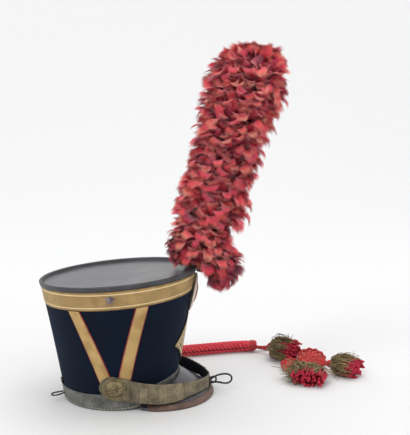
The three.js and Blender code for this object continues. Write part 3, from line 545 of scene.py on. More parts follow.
def plateMaterial():
    # Brass lozenge with a raised border and rays; the run map holds shares of its half sizes
    made, tree, shader, height = wornMaterial(
        "pale_brass", "7d6a43", "d8c290", patch=40, grain=900, smooth=0.22, rough=0.5,
        bump=0.9, depth=0.0012, Metallic=0.9,
    )
    wide, high = runMap(tree)
    offWide, offHigh = calc(tree, "ABSOLUTE", wide), calc(tree, "ABSOLUTE", high)
    reach = calc(tree, "ADD", offWide, offHigh)
    overlay(tree, shader, height, calc(tree, "COMPARE", reach, 0.9, 0.035), colour("e5d2a2"), 1.5)
    overlay(tree, shader, height, calc(tree, "COMPARE", reach, 0.82, 0.018), colour("4d3f25"), -1.2)
    squares = calc(tree, "ADD", calc(tree, "POWER", offWide, 2.0), calc(tree, "POWER", offHigh, 2.0))
    centre = calc(tree, "SQRT", squares)
    rays = calc(tree, "SINE", calc(tree, "MULTIPLY", calc(tree, "ARCTAN2", high, wide), 24.0))
    field = calc(tree, "LESS_THAN", reach, 0.78)
    inside = calc(tree, "MULTIPLY", field, calc(tree, "GREATER_THAN", centre, 0.24))
    ridge = calc(tree, "MULTIPLY", inside, calc(tree, "MULTIPLY_ADD", rays, 0.5, 0.5))
    overlay(tree, shader, height, calc(tree, "MULTIPLY", ridge, 0.35), colour("f2e2b8"), 3.0)
    overlay(tree, shader, height, calc(tree, "LESS_THAN", centre, 0.2), colour("d9c48f"), 1.6)
    return made


# Name, dark, light, patch and grain scale, least and most roughness, bump, and what else differs
plainFinishes = {
    "patent": (
        "patent", "2e2e32", "505157", 7, 300, 0.28, 0.5, 0.25,
        {"depth": 0.0006, "Coat_Weight": 0.25, "Coat_Roughness": 0.3},
    ),
    "rim": ("rim_leather", "1f2023", "46474b", 40, 600, 0.35, 0.6, 0.4, {"depth": 0.0006}),
    "peak": (
        "peak_leather", "202025", "4a4850", 14, 420, 0.22, 0.45, 0.35,
        {"depth": 0.0006, "Coat_Weight": 0.35, "Coat_Roughness": 0.2},
    ),
    "red": ("red_cloth", "5e141d", "96343c", 60, 1500, 0.8, 0.95, 0.4, {}),
    "silver": ("silver", "3a3032", "a09090", 120, 1600, 0.3, 0.55, 0.6, {"Metallic": 0.8}),
    "brown": ("brown_leather", "33231d", "6f5446", 35, 600, 0.3, 0.55, 0.35, {}),
    "brass": ("old_brass", "443c2a", "9c8d68", 90, 900, 0.3, 0.6, 0.4, {"Metallic": 0.6}),
    "scale": (
        "chin_scale_brass", "443d2e", "968b6f", 60, 700, 0.35, 0.65, 0.8, {"depth": 0.001, "Metallic": 0.45}
    ),
    "lining": ("dark_lining", "05070d", "141826", 40, 1200, 0.7, 0.9, 0.4, {}),
    "wire": ("wire_steel", "1a1a1b", "454546", 90, 900, 0.3, 0.6, 0.2, {"Metallic": 0.85}),
    # The dark core is painted shade, filling the gaps of the plait and of the plume
    "paintedShadeCore": ("painted_shade_core", "4a0d16", "6d1520", 60, 900, 0.8, 0.95, 0.2, {}),
    "strand": ("braid_strand", "b81a2e", "f05660", 260, 2400, 0.7, 0.9, 0.7, {"depth": 0.0006}),
    "quill": ("quill", "c9b196", "efe2d0", 80, 600, 0.4, 0.6, 0.2, {}),
    "cockadeRed": ("cockade_red", "7d1f2b", "b04552", 90, 900, 0.5, 0.7, 0.4, {}),
    "cream": ("cockade_cream", "b9a28f", "eadfd0", 90, 900, 0.5, 0.7, 0.4, {}),
}
finishes = {
    "felt": feltMaterial(),
    "band": stitchedLeather(stitchSettings),
    "lace": laceMaterial("top_lace", 30.0, 5.2),
    "chevronLace": laceMaterial("chevron_lace", 15.5, 4.2, "a07c42", "e6c584", reach=2.0),
    "plate": plateMaterial(),
    "cockade": cockadeMaterial(),
    "feather": featherMaterial(featherTones),
    "braid": twistedMaterial("braid_cord", "b5222e", "e45a5c", pitch=5.0),
    "speckled": twistedMaterial("speckled_braid", "b01f2c", "e04448", pitch=5.0, specks=0.2),
    "bullion": twistedMaterial("bullion", "a3122d", "df2f4e", pitch=3.0, turns=1.0),
    "thread": twistedMaterial("olive_thread", "5f4c2e", "c9b582", pitch=3.0, turns=1.0, rise=0.8),
}
for label, (*words, facts) in plainFinishes.items():
    finishes[label] = wornMaterial(*words, **facts)[0]
print("materials made")


# Cords: plaited round a centreline, or twisted from two plies
def plaitedCord(name, points, settings):
    # Two rows of slanting stitches over a core, meeting in a groove on both sides
    parts = MeshParts()
    centre = smoothPath(points, 0.002)
    frames = pathFrames(centre, Vector((0, 1, 0)))
    total = pathLength(centre)
    step = total / (len(centre) - 1)
    reach = (settings["halfSize"] - settings["strandRadius"]) / 1000
    pitch, slant = settings["pitch"] / 1000, settings["slant"] / 1000

    def spot(travel, spin, row):
        k = min(max(travel / step, 0), len(centre) - 1.001)
        point, side, top = frames[int(k)]
        point = point.lerp(frames[int(k) + 1][0], k - int(k))
        dip = 1 - settings["groove"] * abs(math.cos(spin)) ** 4
        return point + reach * dip * (math.cos(spin) * side + row * math.sin(spin) * top)

    for row in (1, -1):
        for i in range(-2, int(total / pitch) + 1):
            start = (i + (0.25 if row > 0 else 0.75)) * pitch
            if start + 0.5 * slant > total + 0.002:
                break
            line = [spot(start + slant * k / 12, math.pi * (0.1 + 0.8 * k / 12), row) for k in range(13)]
            if (line[0] - line[-1]).length > 0.004:
                parts.sweep(line, settings["strandRadius"] / 1000, 8)
    # A dark core shows through the gaps between the stitches: painted shade
    parts.sweep(centre[::4], settings["coreRadius"] / 1000, 12, slot=1)
    return parts.build(name, [finishes["strand"], finishes["paintedShadeCore"]]), centre


def addPlies(parts, points, settings):
    # Adds two plies wound round a path, and returns the path
    centre = smoothPath(points, 0.0011)
    step = pathLength(centre) / (len(centre) - 1)
    for ply in range(2):
        line = []
        for i, (point, side, top) in enumerate(pathFrames(centre)):
            spin = 2 * math.pi * i * step * 1000 / settings["pitch"] + math.pi * ply
            line.append(point + settings["ringRadius"] / 1000 * onCircle(spin, side, top))
        parts.sweep(line, settings["strandRadius"] / 1000, 7)
    return centre


braidRoute = [inMetres(p) for p in braidSettings["route"]]
braid, braidPath = plaitedCord("plaited_braid", braidRoute, braidSettings)
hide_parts("shako_braid")
thinCords = {}
for label, route in thinCordSettings["routes"].items():
    parts = MeshParts()
    centre = addPlies(parts, [inMetres(p) for p in route], thinCordSettings)
    made = parts.build(label + "_plies", [finishes["braid"]])
    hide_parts(label)
    thinCords[label] = (made, centre)


def winding(parts, middle, axes, reachAt, settings):
    # Rings of cord side by side along the first axis
    along, side, top = axes
    for turn in range(settings["turns"]):
        share = (turn + 0.5) / settings["turns"]
        ring = []
        for i in range(settings["steps"] + 1):
            spin = 2 * math.pi * i / settings["steps"]
            away = reachAt(share) * onCircle(spin, side, top)
            shift = (share - 0.5) * settings["length"] + settings["skew"] * math.sin(spin)
            ring.append(middle + away + along * shift)
        parts.sweep(ring, settings["strand"], settings["sides"])


# Wound knot at the end of the plait
knotSettings = {
    "radius": 0.0078, "swell": 0.0018,
    "turns": 5, "steps": 24, "sides": 8, "strand": 0.0024, "length": 0.0155, "skew": 0.0014,
}


def braidEnd(settings):
    parts = MeshParts()
    low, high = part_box("braid_knot")
    along = (braidPath[-1] - braidPath[-3]).normalized()
    side = along.cross(Vector((0, 0, 1))).normalized()

    def reachAt(share):
        return settings["radius"] + settings["swell"] * math.sin(math.pi * share)

    winding(parts, (low + high) / 2, (along, side, side.cross(along)), reachAt, settings)
    return parts.build("braid_knot_wound", [finishes["braid"]])


knot = braidEnd(knotSettings)
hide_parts("braid_knot")
print("cords made")

# Tassels: a wound head, crimson bullions and olive threads; olive says on which sides the threads lie
tasselSettings = {
    "head": {
        "radius": 0.0062,
        "turns": 7, "steps": 18, "sides": 6, "strand": 0.0014, "length": 0.013, "skew": 0.0,
    },
    "bullions": 96,
    "bullionRadius": 0.0021,
    "threads": 460,
    "threadRadius": 0.00085,
    "places": {
        "tassel_back": {
            "from": (300, 197, 19), "to": (334, 154, 22), "wide": 25, "high": 20, "olive": (0.95, 0.35),
        },
        "tassel_front": {
            "from": (357, 76, 14), "to": (332, 8, 15.2), "wide": 33, "high": 14, "olive": (0.75, 0.6),
        },
        "tassel_right": {
            "from": (396, 88, 14), "to": (431, 48, 19.2), "wide": 22, "high": 18, "olive": (0.5, 0.75),
        },
    },
}


def tassel(name, spot, settings, seed):
    chance = random.Random(seed)
    parts = MeshParts()
    head, end = inMetres(spot["from"]), inMetres(spot["to"])
    along = (end - head).normalized()
    aside = along.cross(Vector((0, 0, 1))).normalized()
    over = aside.cross(along)
    length = (end - head).length

    def reachAt(share):
        return settings["head"]["radius"] * math.sin(math.pi * (0.1 + 0.8 * share))

    winding(parts, head, (along, aside, over), reachAt, settings["head"])
    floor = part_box(name)[0].z + 0.0004

    def fall(spin, reach, stretch, wander, stray):
        wide = spot["wide"] / 1000 * reach
        tall = spot["high"] / 1000 * reach
        line = []
        for i in range(11):
            t = i / 10
            swell = math.sin(min(1.0, t * 1.7) * math.pi / 2) ** 0.75
            curl = stray * math.sin(4.2 * t + wander) * t
            point = head + along * (0.004 + (length + 0.004) * stretch * t)
            sway = aside * (wide * swell * (math.cos(spin) + curl))
            point += sway + over * (tall * swell * (math.sin(spin) + curl))
            point.z = max(point.z, floor + 0.0012)
            line.append(point)
        return line

    for i in range(settings["bullions"]):
        spin = 2 * math.pi * i / settings["bullions"] + chance.uniform(-0.06, 0.06)
        reach = chance.choice([0.2, 0.45, 0.7, 0.95, 1.0])
        if onCircle(spin, *spot["olive"]) > 0.1 and reach > 0.6:
            reach *= 0.8
        line = fall(spin, reach, chance.uniform(0.84, 1.05), chance.uniform(0, 6.3), 0.1)
        parts.sweep(line, settings["bullionRadius"], 7, slot=1, tone=chance.random())
    for i in range(settings["threads"]):
        spin = chance.uniform(0, 2 * math.pi)
        if onCircle(spin, *spot["olive"]) < 0.0 and i % 7:
            continue
        loose = chance.random() ** 3
        reach = chance.uniform(0.75, 1.1) + 0.3 * loose
        line = fall(spin, reach, chance.uniform(0.5, 1.02), chance.uniform(0, 6.3), 0.08 + 0.5 * loose)
        tone = chance.random()
        parts.sweep(line, settings["threadRadius"], 3, slot=2, tone=tone, taper=lambda t: 1 - 0.4 * t)
    made = parts.build(name + "_fringe", [finishes["braid"], finishes["bullion"], finishes["thread"]])
    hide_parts(name)
    return made


for i, (name, spot) in enumerate(tasselSettings["places"].items()):
    tassel(name, spot, tasselSettings, 11 + i)

# Flat knots: a coil of plied cord with small loops round its rim
flatKnotSettings = {
    "turns": 5,
    "loops": 12,
    "cord": {"strandRadius": 1.9, "ringRadius": 1.4, "pitch": 8.0},
    "places": {
        "flat_knot_upper": {
            "middle": (370, 124, 14.2), "radius": 25, "lean": 27, "stub": (393.7, 96.6, 12.4),
        },
        "flat_knot_lower": {
            "middle": (327.3, 98.6, 8.8), "radius": 22, "lean": 14, "stub": (352.9, 84.2, 12.5),
        },
    },
}


def flatKnot(name, spot, settings):
    parts = MeshParts()
    centre = inMetres(spot["middle"])
    tilt = Matrix.Rotation(math.radians(spot["lean"]), 3, "X")

    def tilted(spin, reach, lift):
        return centre + tilt @ Vector((reach * math.cos(spin), reach * math.sin(spin), lift))

    spiral = []
    steps = settings["turns"] * 14
    for i in range(steps + 1):
        reach = (spot["radius"] - 3.4) * (0.12 + 0.88 * i / steps) / 1000
        spiral.append(tilted(2 * math.pi * i / 14, reach, 0.0016 * math.cos(math.pi * i / steps)))
    addPlies(parts, spiral, settings["cord"])
    rim = []
    loops = settings["loops"]
    for i in range(loops * 6 + 1):
        spin = 2 * math.pi * i / (loops * 6)
        reach = (spot["radius"] - 0.4 + 0.8 * math.sin(loops * spin)) / 1000
        rim.append(tilted(spin, reach, 0.0015 * math.cos(loops * spin)))
    addPlies(parts, rim, settings["cord"])
    stub = inMetres(spot["stub"])
    edge = centre.lerp(stub, 0.62)
    edge.z = centre.z + (edge.y - centre.y) * math.tan(math.radians(spot["lean"]))
    addPlies(parts, [edge, edge.lerp(stub, 0.5), stub], thinCordSettings)
    made = parts.build(name + "_coil", [finishes["speckled"]])
    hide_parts(name)
    return made


for name, spot in flatKnotSettings["places"].items():
    flatKnot(name, spot, flatKnotSettings)
pathLength(braidPath)
[tuple(p) for p in braidPath]
link, linkPath = thinCords["cord_to_flat_knot"]
pathLength(linkPath)
print("tassels and flat knots made")


# Solid pieces: a CAD node's surface, joined to quads and rounded
def roundedNode(name, finish, levels=2, sharp=34.0):
    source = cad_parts[name]
    work = bmesh.new()
    work.from_mesh(source.data)
    bmesh.ops.remove_doubles(work, verts=work.verts, dist=2e-5)
    limits = {"angle_face_threshold": math.radians(12), "angle_shape_threshold": math.radians(60)}
    bmesh.ops.join_triangles(work, faces=work.faces, **limits)
    bmesh.ops.recalc_face_normals(work, faces=work.faces)
    crease = work.edges.layers.float.new("crease_edge")
    for edge in work.edges:
        if len(edge.link_faces) == 2 and edge.calc_face_angle(0) > math.radians(sharp):
            edge[crease] = 0.9
    mesh = bpy.data.meshes.new(name + "_surface")
    work.to_mesh(mesh)
    work.free()
    mesh.shade_smooth()
    mesh.materials.append(finishes[finish])
    made = place(name + "_surface", mesh)
    if levels:
        rounding = made.modifiers.new("rounding", "SUBSURF")
        rounding.levels = levels
        rounding.render_levels = levels
    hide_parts(name)
    return made


def setRun(made, rule):
    # Fills the run map of a mesh from a rule of point and face centre
    mesh = made.data
    run = mesh.uv_layers.new(name="run")
    for face in mesh.polygons:
        middle = mean([mesh.vertices[v].co for v in face.vertices])
        for corner in face.loop_indices:
            run.data[corner].uv = rule(mesh.vertices[mesh.loops[corner].vertex_index].co, middle)


crownLow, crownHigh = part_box("crown_shell")
crownMiddle = (crownLow + crownHigh) / 2


def roundRun(made, radius):
    # Run map round the crown: millimetres round, and above the piece's lower edge
    edges = {}

    def turnOf(point):
        return math.atan2(point.y - crownMiddle.y, point.x - crownMiddle.x)

    def sector(point):
        return round(turnOf(point) * 40 / (2 * math.pi)) % 40

    for vertex in made.data.vertices:
        key = sector(vertex.co)
        edges[key] = min(edges.get(key, 9.0), vertex.co.z)

    def rule(point, middle):
        base = turnOf(middle)
        turn = base + (turnOf(point) - base + math.pi) % (2 * math.pi) - math.pi
        return ((turn + math.pi) * radius, (point.z - edges[sector(point)]) * 1000)

    setRun(made, rule)


def stripRun(made):
    # Run map along a strip's long axis, and across it, in millimetres
    points = [v.co for v in made.data.vertices]
    top, low = max(p.z for p in points), min(p.z for p in points)
    highEnd = mean([p for p in points if p.z > top - 0.012])
    lowEnd = mean([p for p in points if p.z < low + 0.012])
    along = (highEnd - lowEnd).normalized()
    across = Vector((1, 0, 0)) - along * along.x
    across.normalize()
    least = min((p - lowEnd).dot(across) for p in points)

    def rule(point, middle):
        away = point - lowEnd
        return (away.dot(along) * 1000, (away.dot(across) - least) * 1000)

    setRun(made, rule)


# The leather top sits low: heights over the shell's top plane, in millimetres, are drawn in
topSettings = {
    "foot": Vector((-0.0436, -0.0048, 0.2189)),
    "axis": Vector((-0.0802, 0, 0.99678)),
    "shellFrom": -2,
    "shellDrop": 4.5,
    "leatherShare": 0.75,
    "leatherDrop": 4,
    "leatherLowest": -9.0,
    "discBelow": -6.0,
}


def topHeight(point):
    return (point - topSettings["foot"]).dot(topSettings["axis"]) * 1000


def drawIn(made, rule):
    for vertex in made.data.vertices:
        height = topHeight(vertex.co)
        vertex.co += topSettings["axis"] * ((rule(height) - height) / 1000)


def shellRule(height):
    return height - topSettings["shellDrop"] if height > topSettings["shellFrom"] else height


def leatherRule(height):
    lowered = topSettings["leatherShare"] * height - topSettings["leatherDrop"]
    return max(lowered, topSettings["leatherLowest"])


shell = roundedNode("crown_shell", "felt")
drawIn(shell, shellRule)
crownTop = roundedNode("crown_top", "patent", levels=3)
drawIn(crownTop, leatherRule)
crownTop.data.materials.append(finishes["rim"])
for face in crownTop.data.polygons:
    highest = max(topHeight(crownTop.data.vertices[v].co) for v in face.vertices)
    face.material_index = 0 if highest < topSettings["discBelow"] and face.normal.z > 0.7 else 1
for name, finish, radius in (("top_lace", "lace", 133.6), ("lower_band", "band", 96.0)):
    roundRun(roundedNode(name, finish), radius)
roundedNode("peak", "peak")
roundedNode("peak_binding", "brown")
# Wires are made thicker than their solids by these amounts
for name, extra in (("strap_hook", 0.0007), ("strap_eye", 0.0006), ("rear_loop", 0.0002)):
    wire = roundedNode(name, "wire", levels=1, sharp=70)
    shifts = [vertex.normal * extra for vertex in wire.data.vertices]
    for vertex, shift in zip(wire.data.vertices, shifts):
        vertex.co += shift
roundedNode("rear_buckle", "wire", levels=0)
roundedNode("cord_hook", "brass", sharp=50)
roundedNode("plate_backing", "lining", levels=1)
roundedNode("plume_socket", "brown")
roundedNode("plume_stem", "quill")
for side in ("right", "left"):
    roundedNode("chin_lining_" + side, "lining", levels=1)
    for leg in ("back", "front"):
        roundedNode(f"chevron_backing_{leg}_{side}", "red", levels=1)
        stripRun(roundedNode(f"chevron_{leg}_{side}", "chevronLace", levels=1))

plate = roundedNode("front_plate", "plate")
plateLow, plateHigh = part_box("front_plate")
plateMiddle = (plateLow + plateHigh) / 2
plateHalf = (plateHigh - plateLow) / 2
setRun(plate, lambda p, m: ((p.y - plateMiddle.y) / plateHalf.y, (p.z - plateMiddle.z) / plateHalf.z))


def discFrame(name):
    # Centre, outward normal and rise of a flat round piece
    work = bmesh.new()
    work.from_mesh(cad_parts[name].data)
    summed = Vector()
    centre = Vector()
    total = 0.0
    for face in work.faces:
        area = face.calc_area()
        centre += face.calc_center_median() * area
        total += area
        outward = face.normal if face.normal.dot(face.calc_center_median() - crownMiddle) > 0 else Vector()
        summed += outward * area
    work.free()
    normal = summed.normalized()
    rise = (Vector((0, 0, 1)) - normal * normal.z).normalized()
    return centre / total, normal, rise, rise.cross(normal)


# Cockade: wider and thicker than its solid, and leaning out a little
cockadeSettings = {"wider": 1.2, "thicker": 1.5, "lower": 0.009, "leanDegrees": 2}


def cockadePiece(settings):
    cockade = roundedNode("cockade", "cockade")
    middle, normal, rise, across = discFrame("cockade")
    low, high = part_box("cockade")
    radius = (high.y - low.y) / 2

    def turnOf(away):
        return math.atan2(away.dot(rise), away.dot(across))

    def rule(point, faceMiddle):
        away = point - middle
        away -= normal * away.dot(normal)
        base = turnOf(faceMiddle - middle)
        turn = base + (turnOf(away) - base + math.pi) % (2 * math.pi) - math.pi
        return (away.length / radius, turn / (2 * math.pi))

    setRun(cockade, rule)
    for item in ("cockadeRed", "cream"):
        cockade.data.materials.append(finishes[item])
    for face in cockade.data.polygons:
        facing = face.normal.dot(normal)
        face.material_index = 0 if facing > 0.5 else (1 if facing > -0.5 else 2)
    pivot = middle - rise * radius
    lean = Matrix.Rotation(math.radians(settings["leanDegrees"]), 3, across)
    if (lean @ rise).dot(normal) < 0:
        lean.transpose()
    for vertex in cockade.data.vertices:
        away = vertex.co - pivot
        thick = normal * away.dot(normal)
        away = (away - thick) * settings["wider"] + thick * settings["thicker"]
        vertex.co = pivot + lean @ away - rise * settings["lower"]


cockadePiece(cockadeSettings)


def bmeshPiece(work, name, finish):
    bmesh.ops.recalc_face_normals(work, faces=work.faces)
    mesh = bpy.data.meshes.new(name)
    work.to_mesh(mesh)
    work.free()
    mesh.materials.append(finishes[finish])
    return place(name, mesh)


# Bosses: a beaded rim round a raised burst of petals; the profile is in shares of radius and depth
bossSettings = {
    "radius": 0.0198,
    "depth": 0.0062,
    "clear": 0.0002,
    "petals": 12,
    "petalBand": (0.3, 0.64),
    "petalFoot": 0.68,
    "beads": 40,
    "beadBand": (0.86, 0.97),
    "beadRise": 0.07,
    "steps": 160,
    "profile": [
        (0.0, 0.92), (0.05, 0.35), (0.13, 0.72), (0.2, 0.86), (0.26, 0.7), (0.32, 0.78), (0.42, 0.9),
        (0.52, 0.88), (0.6, 0.74), (0.66, 0.5), (0.72, 0.36), (0.78, 0.32), (0.83, 0.34), (0.88, 0.5),
        (0.92, 0.56), (0.96, 0.5), (1.0, 0.3), (1.0, 0.02), (0.0, 0.0),
    ],
}


def bossPiece(side, settings):
    name = "boss_" + side
    centre, normal, rise, across = discFrame(name)
    back = min((v.co - centre).dot(normal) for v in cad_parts[name].data.vertices)
    base = centre + normal * (back + settings["clear"])
    radius, depth = settings["radius"], settings["depth"]
    work = bmesh.new()
    points = [base + across * (radius * r) + normal * (depth * h) for r, h in settings["profile"]]
    line = [work.verts.new(point) for point in points]
    edges = [work.edges.new(pair) for pair in zip(line, line[1:])]
    bmesh.ops.spin(
        work, geom=line + edges, cent=base, axis=normal, angle=2 * math.pi,
        steps=settings["steps"], use_merge=True,
    )
    bmesh.ops.remove_doubles(work, verts=work.verts, dist=1e-6)
    petalFrom, petalTo = settings["petalBand"]
    beadFrom, beadTo = settings["beadBand"]
    for vertex in work.verts:
        away = vertex.co - base
        height = away.dot(normal)
        reach = (away - normal * height).length / radius
        spin = math.atan2(away.dot(rise), away.dot(across))
        if petalFrom < reach < petalTo:
            petal = abs(math.cos(settings["petals"] * spin / 2))
            vertex.co += normal * (height * (1 - settings["petalFoot"]) * (petal - 1))
        elif beadFrom < reach < beadTo:
            vertex.co += normal * (depth * settings["beadRise"] * math.cos(settings["beads"] * spin))
    made = bmeshPiece(work, name + "_burst", "brass")
    made.data.shade_smooth()
    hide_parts(name)


# Chin scales: every plate's raised end stands clear of the next, with a dark gap under it
# The short edges of the steps are known by their length
scaleSettings = {"riser": (0.0006, 0.00105), "lift": 0.0008, "bow": 0.0026}


def scalePiece(side, settings):
    name = "chin_scales_" + side
    made = roundedNode(name, "scale", sharp=24)
    made.data.materials.append(finishes["brown"])
    work = bmesh.new()
    work.from_mesh(made.data)
    work.normal_update()
    least, most = settings["riser"]
    risers = set()
    lifts = {}
    for edge in work.edges:
        if least < edge.calc_length() < most and len(edge.link_faces) == 2:
            low, high = edge.verts
            if (high.co - low.co).dot(high.co - crownMiddle) < 0:
                low, high = high, low
            risers.add(edge)
            lifts[high] = (high.co - low.co).normalized() * settings["lift"]
    ends = [face for face in work.faces if sum(edge in risers for edge in face.edges) >= 2]
    meets = {}
    for face in ends:
        face.material_index = 1
        for vertex in face.verts:
            meets.setdefault(vertex, []).append(face.normal.copy())
    for vertex, normals in meets.items():
        if len(normals) == 2:
            vertex.co += sum(normals, Vector()).normalized() * settings["bow"]
    for vertex, lift in lifts.items():
        vertex.co += lift
    work.to_mesh(made.data)
    work.free()


# Stars: five low points round a raised middle
starSettings = {"radius": 0.0102, "notch": 0.0044, "foot": -0.0008, "edge": 0.0003, "peak": 0.0026}


def starPiece(side, settings):
    name = "star_" + side
    centre, normal, rise, across = discFrame(name)
    work = bmesh.new()
    rim = []
    for i in range(10):
        reach = settings["notch" if i % 2 else "radius"]
        rim.append(centre + reach * onCircle(math.pi * i / 5 + math.pi / 2, across, rise))
    low = [work.verts.new(p + normal * settings["foot"]) for p in rim]
    mid = [work.verts.new(p + normal * settings["edge"]) for p in rim]
    peak = work.verts.new(centre + normal * settings["peak"])
    work.faces.new(low[::-1])
    for i in range(10):
        n = (i + 1) % 10
        work.faces.new((low[i], low[n], mid[n], mid[i]))
        work.faces.new((mid[i], mid[n], peak))
    made = bmeshPiece(work, name + "_ridged", "silver")
    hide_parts(name)


for side in ("right", "left"):
    bossPiece(side, bossSettings)
    scalePiece(side, scaleSettings)
    starPiece(side, starSettings)
print("hat pieces made")

# Plume: curved feathers in rows on a core that leans forward as it rises
goldenTurn = 2.39996
plumeSettings = {
    "seat": (0.0015, 0.0003),
    "axis": Vector((0.25, 0, 1)).normalized(),
    "height": 0.352,
    "top": 0.603,
    "halfWidth": 0.070,
    "feathers": 1600,
    "length": (0.034, 0.058),
    "halfVane": (0.0085, 0.0145),
    "startDegrees": (38, 82),
    "bendDegrees": (55, 165),
    "twist": (-0.75, 0.75),
    "reach": (0.95, 1.19),
    "rootDrop": 0.35,
    "cup": (0.15, 0.5),
    "tone": (0.47, 0.2),
    "toneRange": (0.05, 0.85),
    "crownFrom": 0.93,
    "footTo": 0.1,
    "core": 0.5,
    "notch": (0.15, 0.05, 0.42),
    "tufts": [
        {"middle": Vector((0.028, -0.002, -0.014)), "radius": 0.0372, "feathers": 320, "side": 1},
        {"middle": Vector((-0.032, -0.004, 0.018)), "radius": 0.02976, "feathers": 150, "side": -1},
    ],
    "tuftShade": -0.32,
    "run": [
        (0.0, 0.0, 0.5), (0.05, 0.012, 0.86), (0.19, 0.033, 0.85), (0.36, 0.075, 0.82), (0.52, 0.118, 0.79),
        (0.67, 0.162, 0.9), (0.83, 0.208, 0.98), (0.93, 0.236, 0.88), (1.0, 0.25, 0.42),
    ],
}


def plumeAt(share, settings):
    rows = settings["run"]
    for last, following in zip(rows, rows[1:]):
        if share <= following[0]:
            break
    part = max(0.0, min(1.0, (share - last[0]) / (following[0] - last[0])))
    lean = last[1] + (following[1] - last[1]) * part
    wide = last[2] + (following[2] - last[2]) * part
    return lean * settings["height"], share * settings["height"], wide * settings["halfWidth"]


def feather(parts, centre, radius, outward, upward, settings, chance, shade=0.0):
    # One curling feather whose back reaches the radius from the centre
    length = chance.uniform(*settings["length"])
    half = chance.uniform(*settings["halfVane"])
    start = math.radians(chance.uniform(*settings["startDegrees"]))
    bend = math.radians(chance.uniform(*settings["bendDegrees"]))
    twist = Matrix.Rotation(chance.uniform(*settings["twist"]), 3, outward)
    sideways = twist @ outward.cross(upward).normalized()
    upward = twist @ upward
    rows, line = 9, [Vector()]
    turns = []
    for i in range(rows):
        turn = start - bend * (i / (rows - 1)) ** 1.25
        turns.append(turn)
        line.append(line[-1] + (outward * math.cos(turn) + upward * math.sin(turn)) * (length / rows))
    farthest = max(p.dot(outward) for p in line)
    root = centre + outward * (radius * chance.uniform(*settings["reach"]) - farthest)
    root -= upward * (settings["rootDrop"] * length)
    highest = root.z + max(p.z for p in line) + 0.3 * half
    root.z -= max(0.0, highest - settings["top"])
    least, most = settings["toneRange"]
    base = min(most, max(least, chance.gauss(*settings["tone"]))) + shade
    cup = chance.uniform(*settings["cup"])
    grid, tones = [], []
    for i, turn in enumerate(turns):
        t = i / (rows - 1)
        wide = half * (0.45 + 0.55 * math.sin(min(1, t / 0.55) * math.pi / 2))
        if t > 0.55:
            wide *= max(0.2, 1 - ((t - 0.55) / 0.45) ** 2.4) ** 0.5
        inward = outward * math.sin(turn) - upward * math.cos(turn)
        row = []
        for k in range(5):
            part = k / 2 - 1
            row.append(root + line[i] + sideways * (wide * part) - inward * (cup * wide * part * part))
        grid.append(row)
        # Tone rises from root to tip over each feather's random tone: painted shade at the roots, painted
        # highlight at the tips
        tones.append(min(1.0, max(0.0, base * (0.35 + 0.65 * t**0.7) + 0.26 * t * t)))
    parts.grid(grid, tones)


def plumePiece(settings):
    chance = random.Random(5)
    parts = MeshParts()
    low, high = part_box("plume_stem")
    forward, above = settings["seat"]
    base = Vector(((low.x + high.x) / 2 + forward, (low.y + high.y) / 2, high.z + above))
    height, axis, count = settings["height"], settings["axis"], settings["feathers"]
    crown, foot = settings["crownFrom"], settings["footTo"]
    notchAt, notchSpan, notchDepth = settings["notch"]
    for i in range(count):
        share = (i + chance.random()) / count
        turn = i * goldenTurn + chance.uniform(-0.4, 0.4)
        x, z, radius = plumeAt(share, settings)
        outward = Vector((math.cos(turn), math.sin(turn), 0))
        outward = (outward - axis * outward.dot(axis)).normalized()
        dent = math.exp(-(((share - notchAt) / notchSpan) ** 2)) * max(0.0, math.cos(turn))
        radius *= 1 - notchDepth * dent
        upward = axis.copy()
        if share > crown:
            blend = (share - crown) / (1 - crown)
            outward = (outward * (1 - 0.7 * blend) + axis * (0.75 * blend)).normalized()
            upward = outward.orthogonal().normalized()
        elif share < foot:
            outward = (outward - axis * (0.5 * (foot - share) / foot)).normalized()
            upward = (axis - outward * axis.dot(outward)).normalized()
        middle = base + Vector((x, 0, min(z, height - 0.016)))
        feather(parts, middle, radius, outward, upward, settings, chance)
    for tuft in settings["tufts"]:
        for i in range(tuft["feathers"]):
            rise = chance.uniform(-0.95, 0.75)
            turn = i * goldenTurn
            flat = math.sqrt(1 - rise * rise)
            outward = Vector((flat * math.cos(turn), flat * math.sin(turn), rise))
            if outward.x * tuft["side"] < -0.45:
                continue
            upward = (Vector((0, 0, 1)) - outward * rise).normalized()
            middle, shade = base + tuft["middle"], settings["tuftShade"]
            feather(parts, middle, tuft["radius"], outward, upward, settings, chance, shade)
    # Dark core that closes the gaps between the feathers: painted shade for the plume's shaded depths
    rows = []
    for share, *_ in settings["run"]:
        x, z, radius = plumeAt(share, settings)
        reach = settings["core"] * radius
        row = []
        for k in range(19):
            spin = 2 * math.pi * k / 18
            row.append(base + Vector((x + reach * math.cos(spin), reach * math.sin(spin), z * 0.95)))
        rows.append(row)
    parts.grid(rows, [0.06] * len(rows), slot=1)
    made = parts.build("plume_feathers", [finishes["feather"], finishes["paintedShadeCore"]])
    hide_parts("plume")


plumePiece(plumeSettings)
print("plume made")


# Studio: a pale floor that rises behind the hat, a white surround and broad lights
studioSettings = {
    "halfSize": 40.0,
    "bendFrom": 2.6,
    "bendRadius": 7.0,
    "wallTop": 14.0,
    "floorColour": (0.71, 0.71, 0.71, 1),
    "paintedFloorGlow": {"From Min": 0.8, "From Max": 12.0, "To Max": 0.28},
    "surround": (0.96, 0.965, 0.97, 1),
    "surroundStrength": 0.95,
    "aim": Vector((0.0, 0.0, 0.2)),
    "lamps": {
        "key": ((-3.2, -3.4, 4.4), 105, 2.4),
        "fill": ((3.8, -3.0, 2.6), 40, 3.0),
        "top": ((0.4, 1.2, 5.2), 90, 4.0),
    },
}


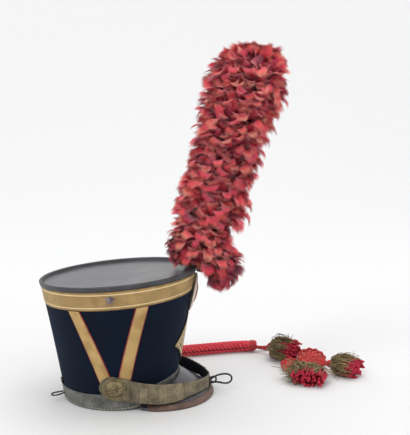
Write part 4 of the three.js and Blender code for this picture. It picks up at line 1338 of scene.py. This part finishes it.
def floorPiece(settings):
    half, start, radius = settings["halfSize"], settings["bendFrom"], settings["bendRadius"]
    profile = [(-half, 0.0), (start, 0.0)]
    for i in range(1, 17):
        spin = math.pi / 2 * i / 16
        profile.append((start + radius * math.sin(spin), radius * (1 - math.cos(spin))))
    profile.append((start + radius, settings["wallTop"]))
    work = bmesh.new()
    line = [work.verts.new((-half, y, z)) for y, z in profile]
    edges = [work.edges.new(pair) for pair in zip(line, line[1:])]
    swept = bmesh.ops.extrude_edge_only(work, edges=edges)["geom"]
    moved = [item for item in swept if isinstance(item, bmesh.types.BMVert)]
    bmesh.ops.translate(work, verts=moved, vec=(2 * half, 0, 0))
    mesh = bpy.data.meshes.new("floor")
    work.to_mesh(mesh)
    work.free()
    mesh.shade_smooth()
    floor = bpy.data.objects.new("floor", mesh)
    scene.collection.objects.link(floor)
    made, tree, shader = newMaterial("floor")
    shader.inputs["Base Color"].default_value = settings["floorColour"]
    shader.inputs["Roughness"].default_value = 0.8
    # Far floor glows more with distance, up to the white of the surround: painted light from emission, no
    # lamp
    away = addNode(tree, "ShaderNodeVectorMath", {0: objectSpot(tree)}, operation="LENGTH").outputs["Value"]
    paintedFloorGlow = addNode(tree, "ShaderNodeMapRange", {"Value": away, **settings["paintedFloorGlow"]}).outputs[0]
    tree.links.new(paintedFloorGlow, shader.inputs["Emission Color"])
    shader.inputs["Emission Strength"].default_value = 1.0
    mesh.materials.append(made)


def lights(settings):
    world = bpy.data.worlds.new("surround")
    world.use_nodes = True
    background = world.node_tree.nodes["Background"]
    background.inputs[0].default_value = settings["surround"]
    background.inputs[1].default_value = settings["surroundStrength"]
    scene.world = world
    for label, (spot, power, size) in settings["lamps"].items():
        data = bpy.data.lights.new(label, "AREA")
        data.energy = power
        data.size = size
        lamp = bpy.data.objects.new(label, data)
        lamp.location = spot
        lamp.rotation_euler = (settings["aim"] - Vector(spot)).to_track_quat("-Z", "Y").to_euler()
        scene.collection.objects.link(lamp)


floorPiece(studioSettings)
lights(studioSettings)
scene.view_settings.view_transform = "Standard"
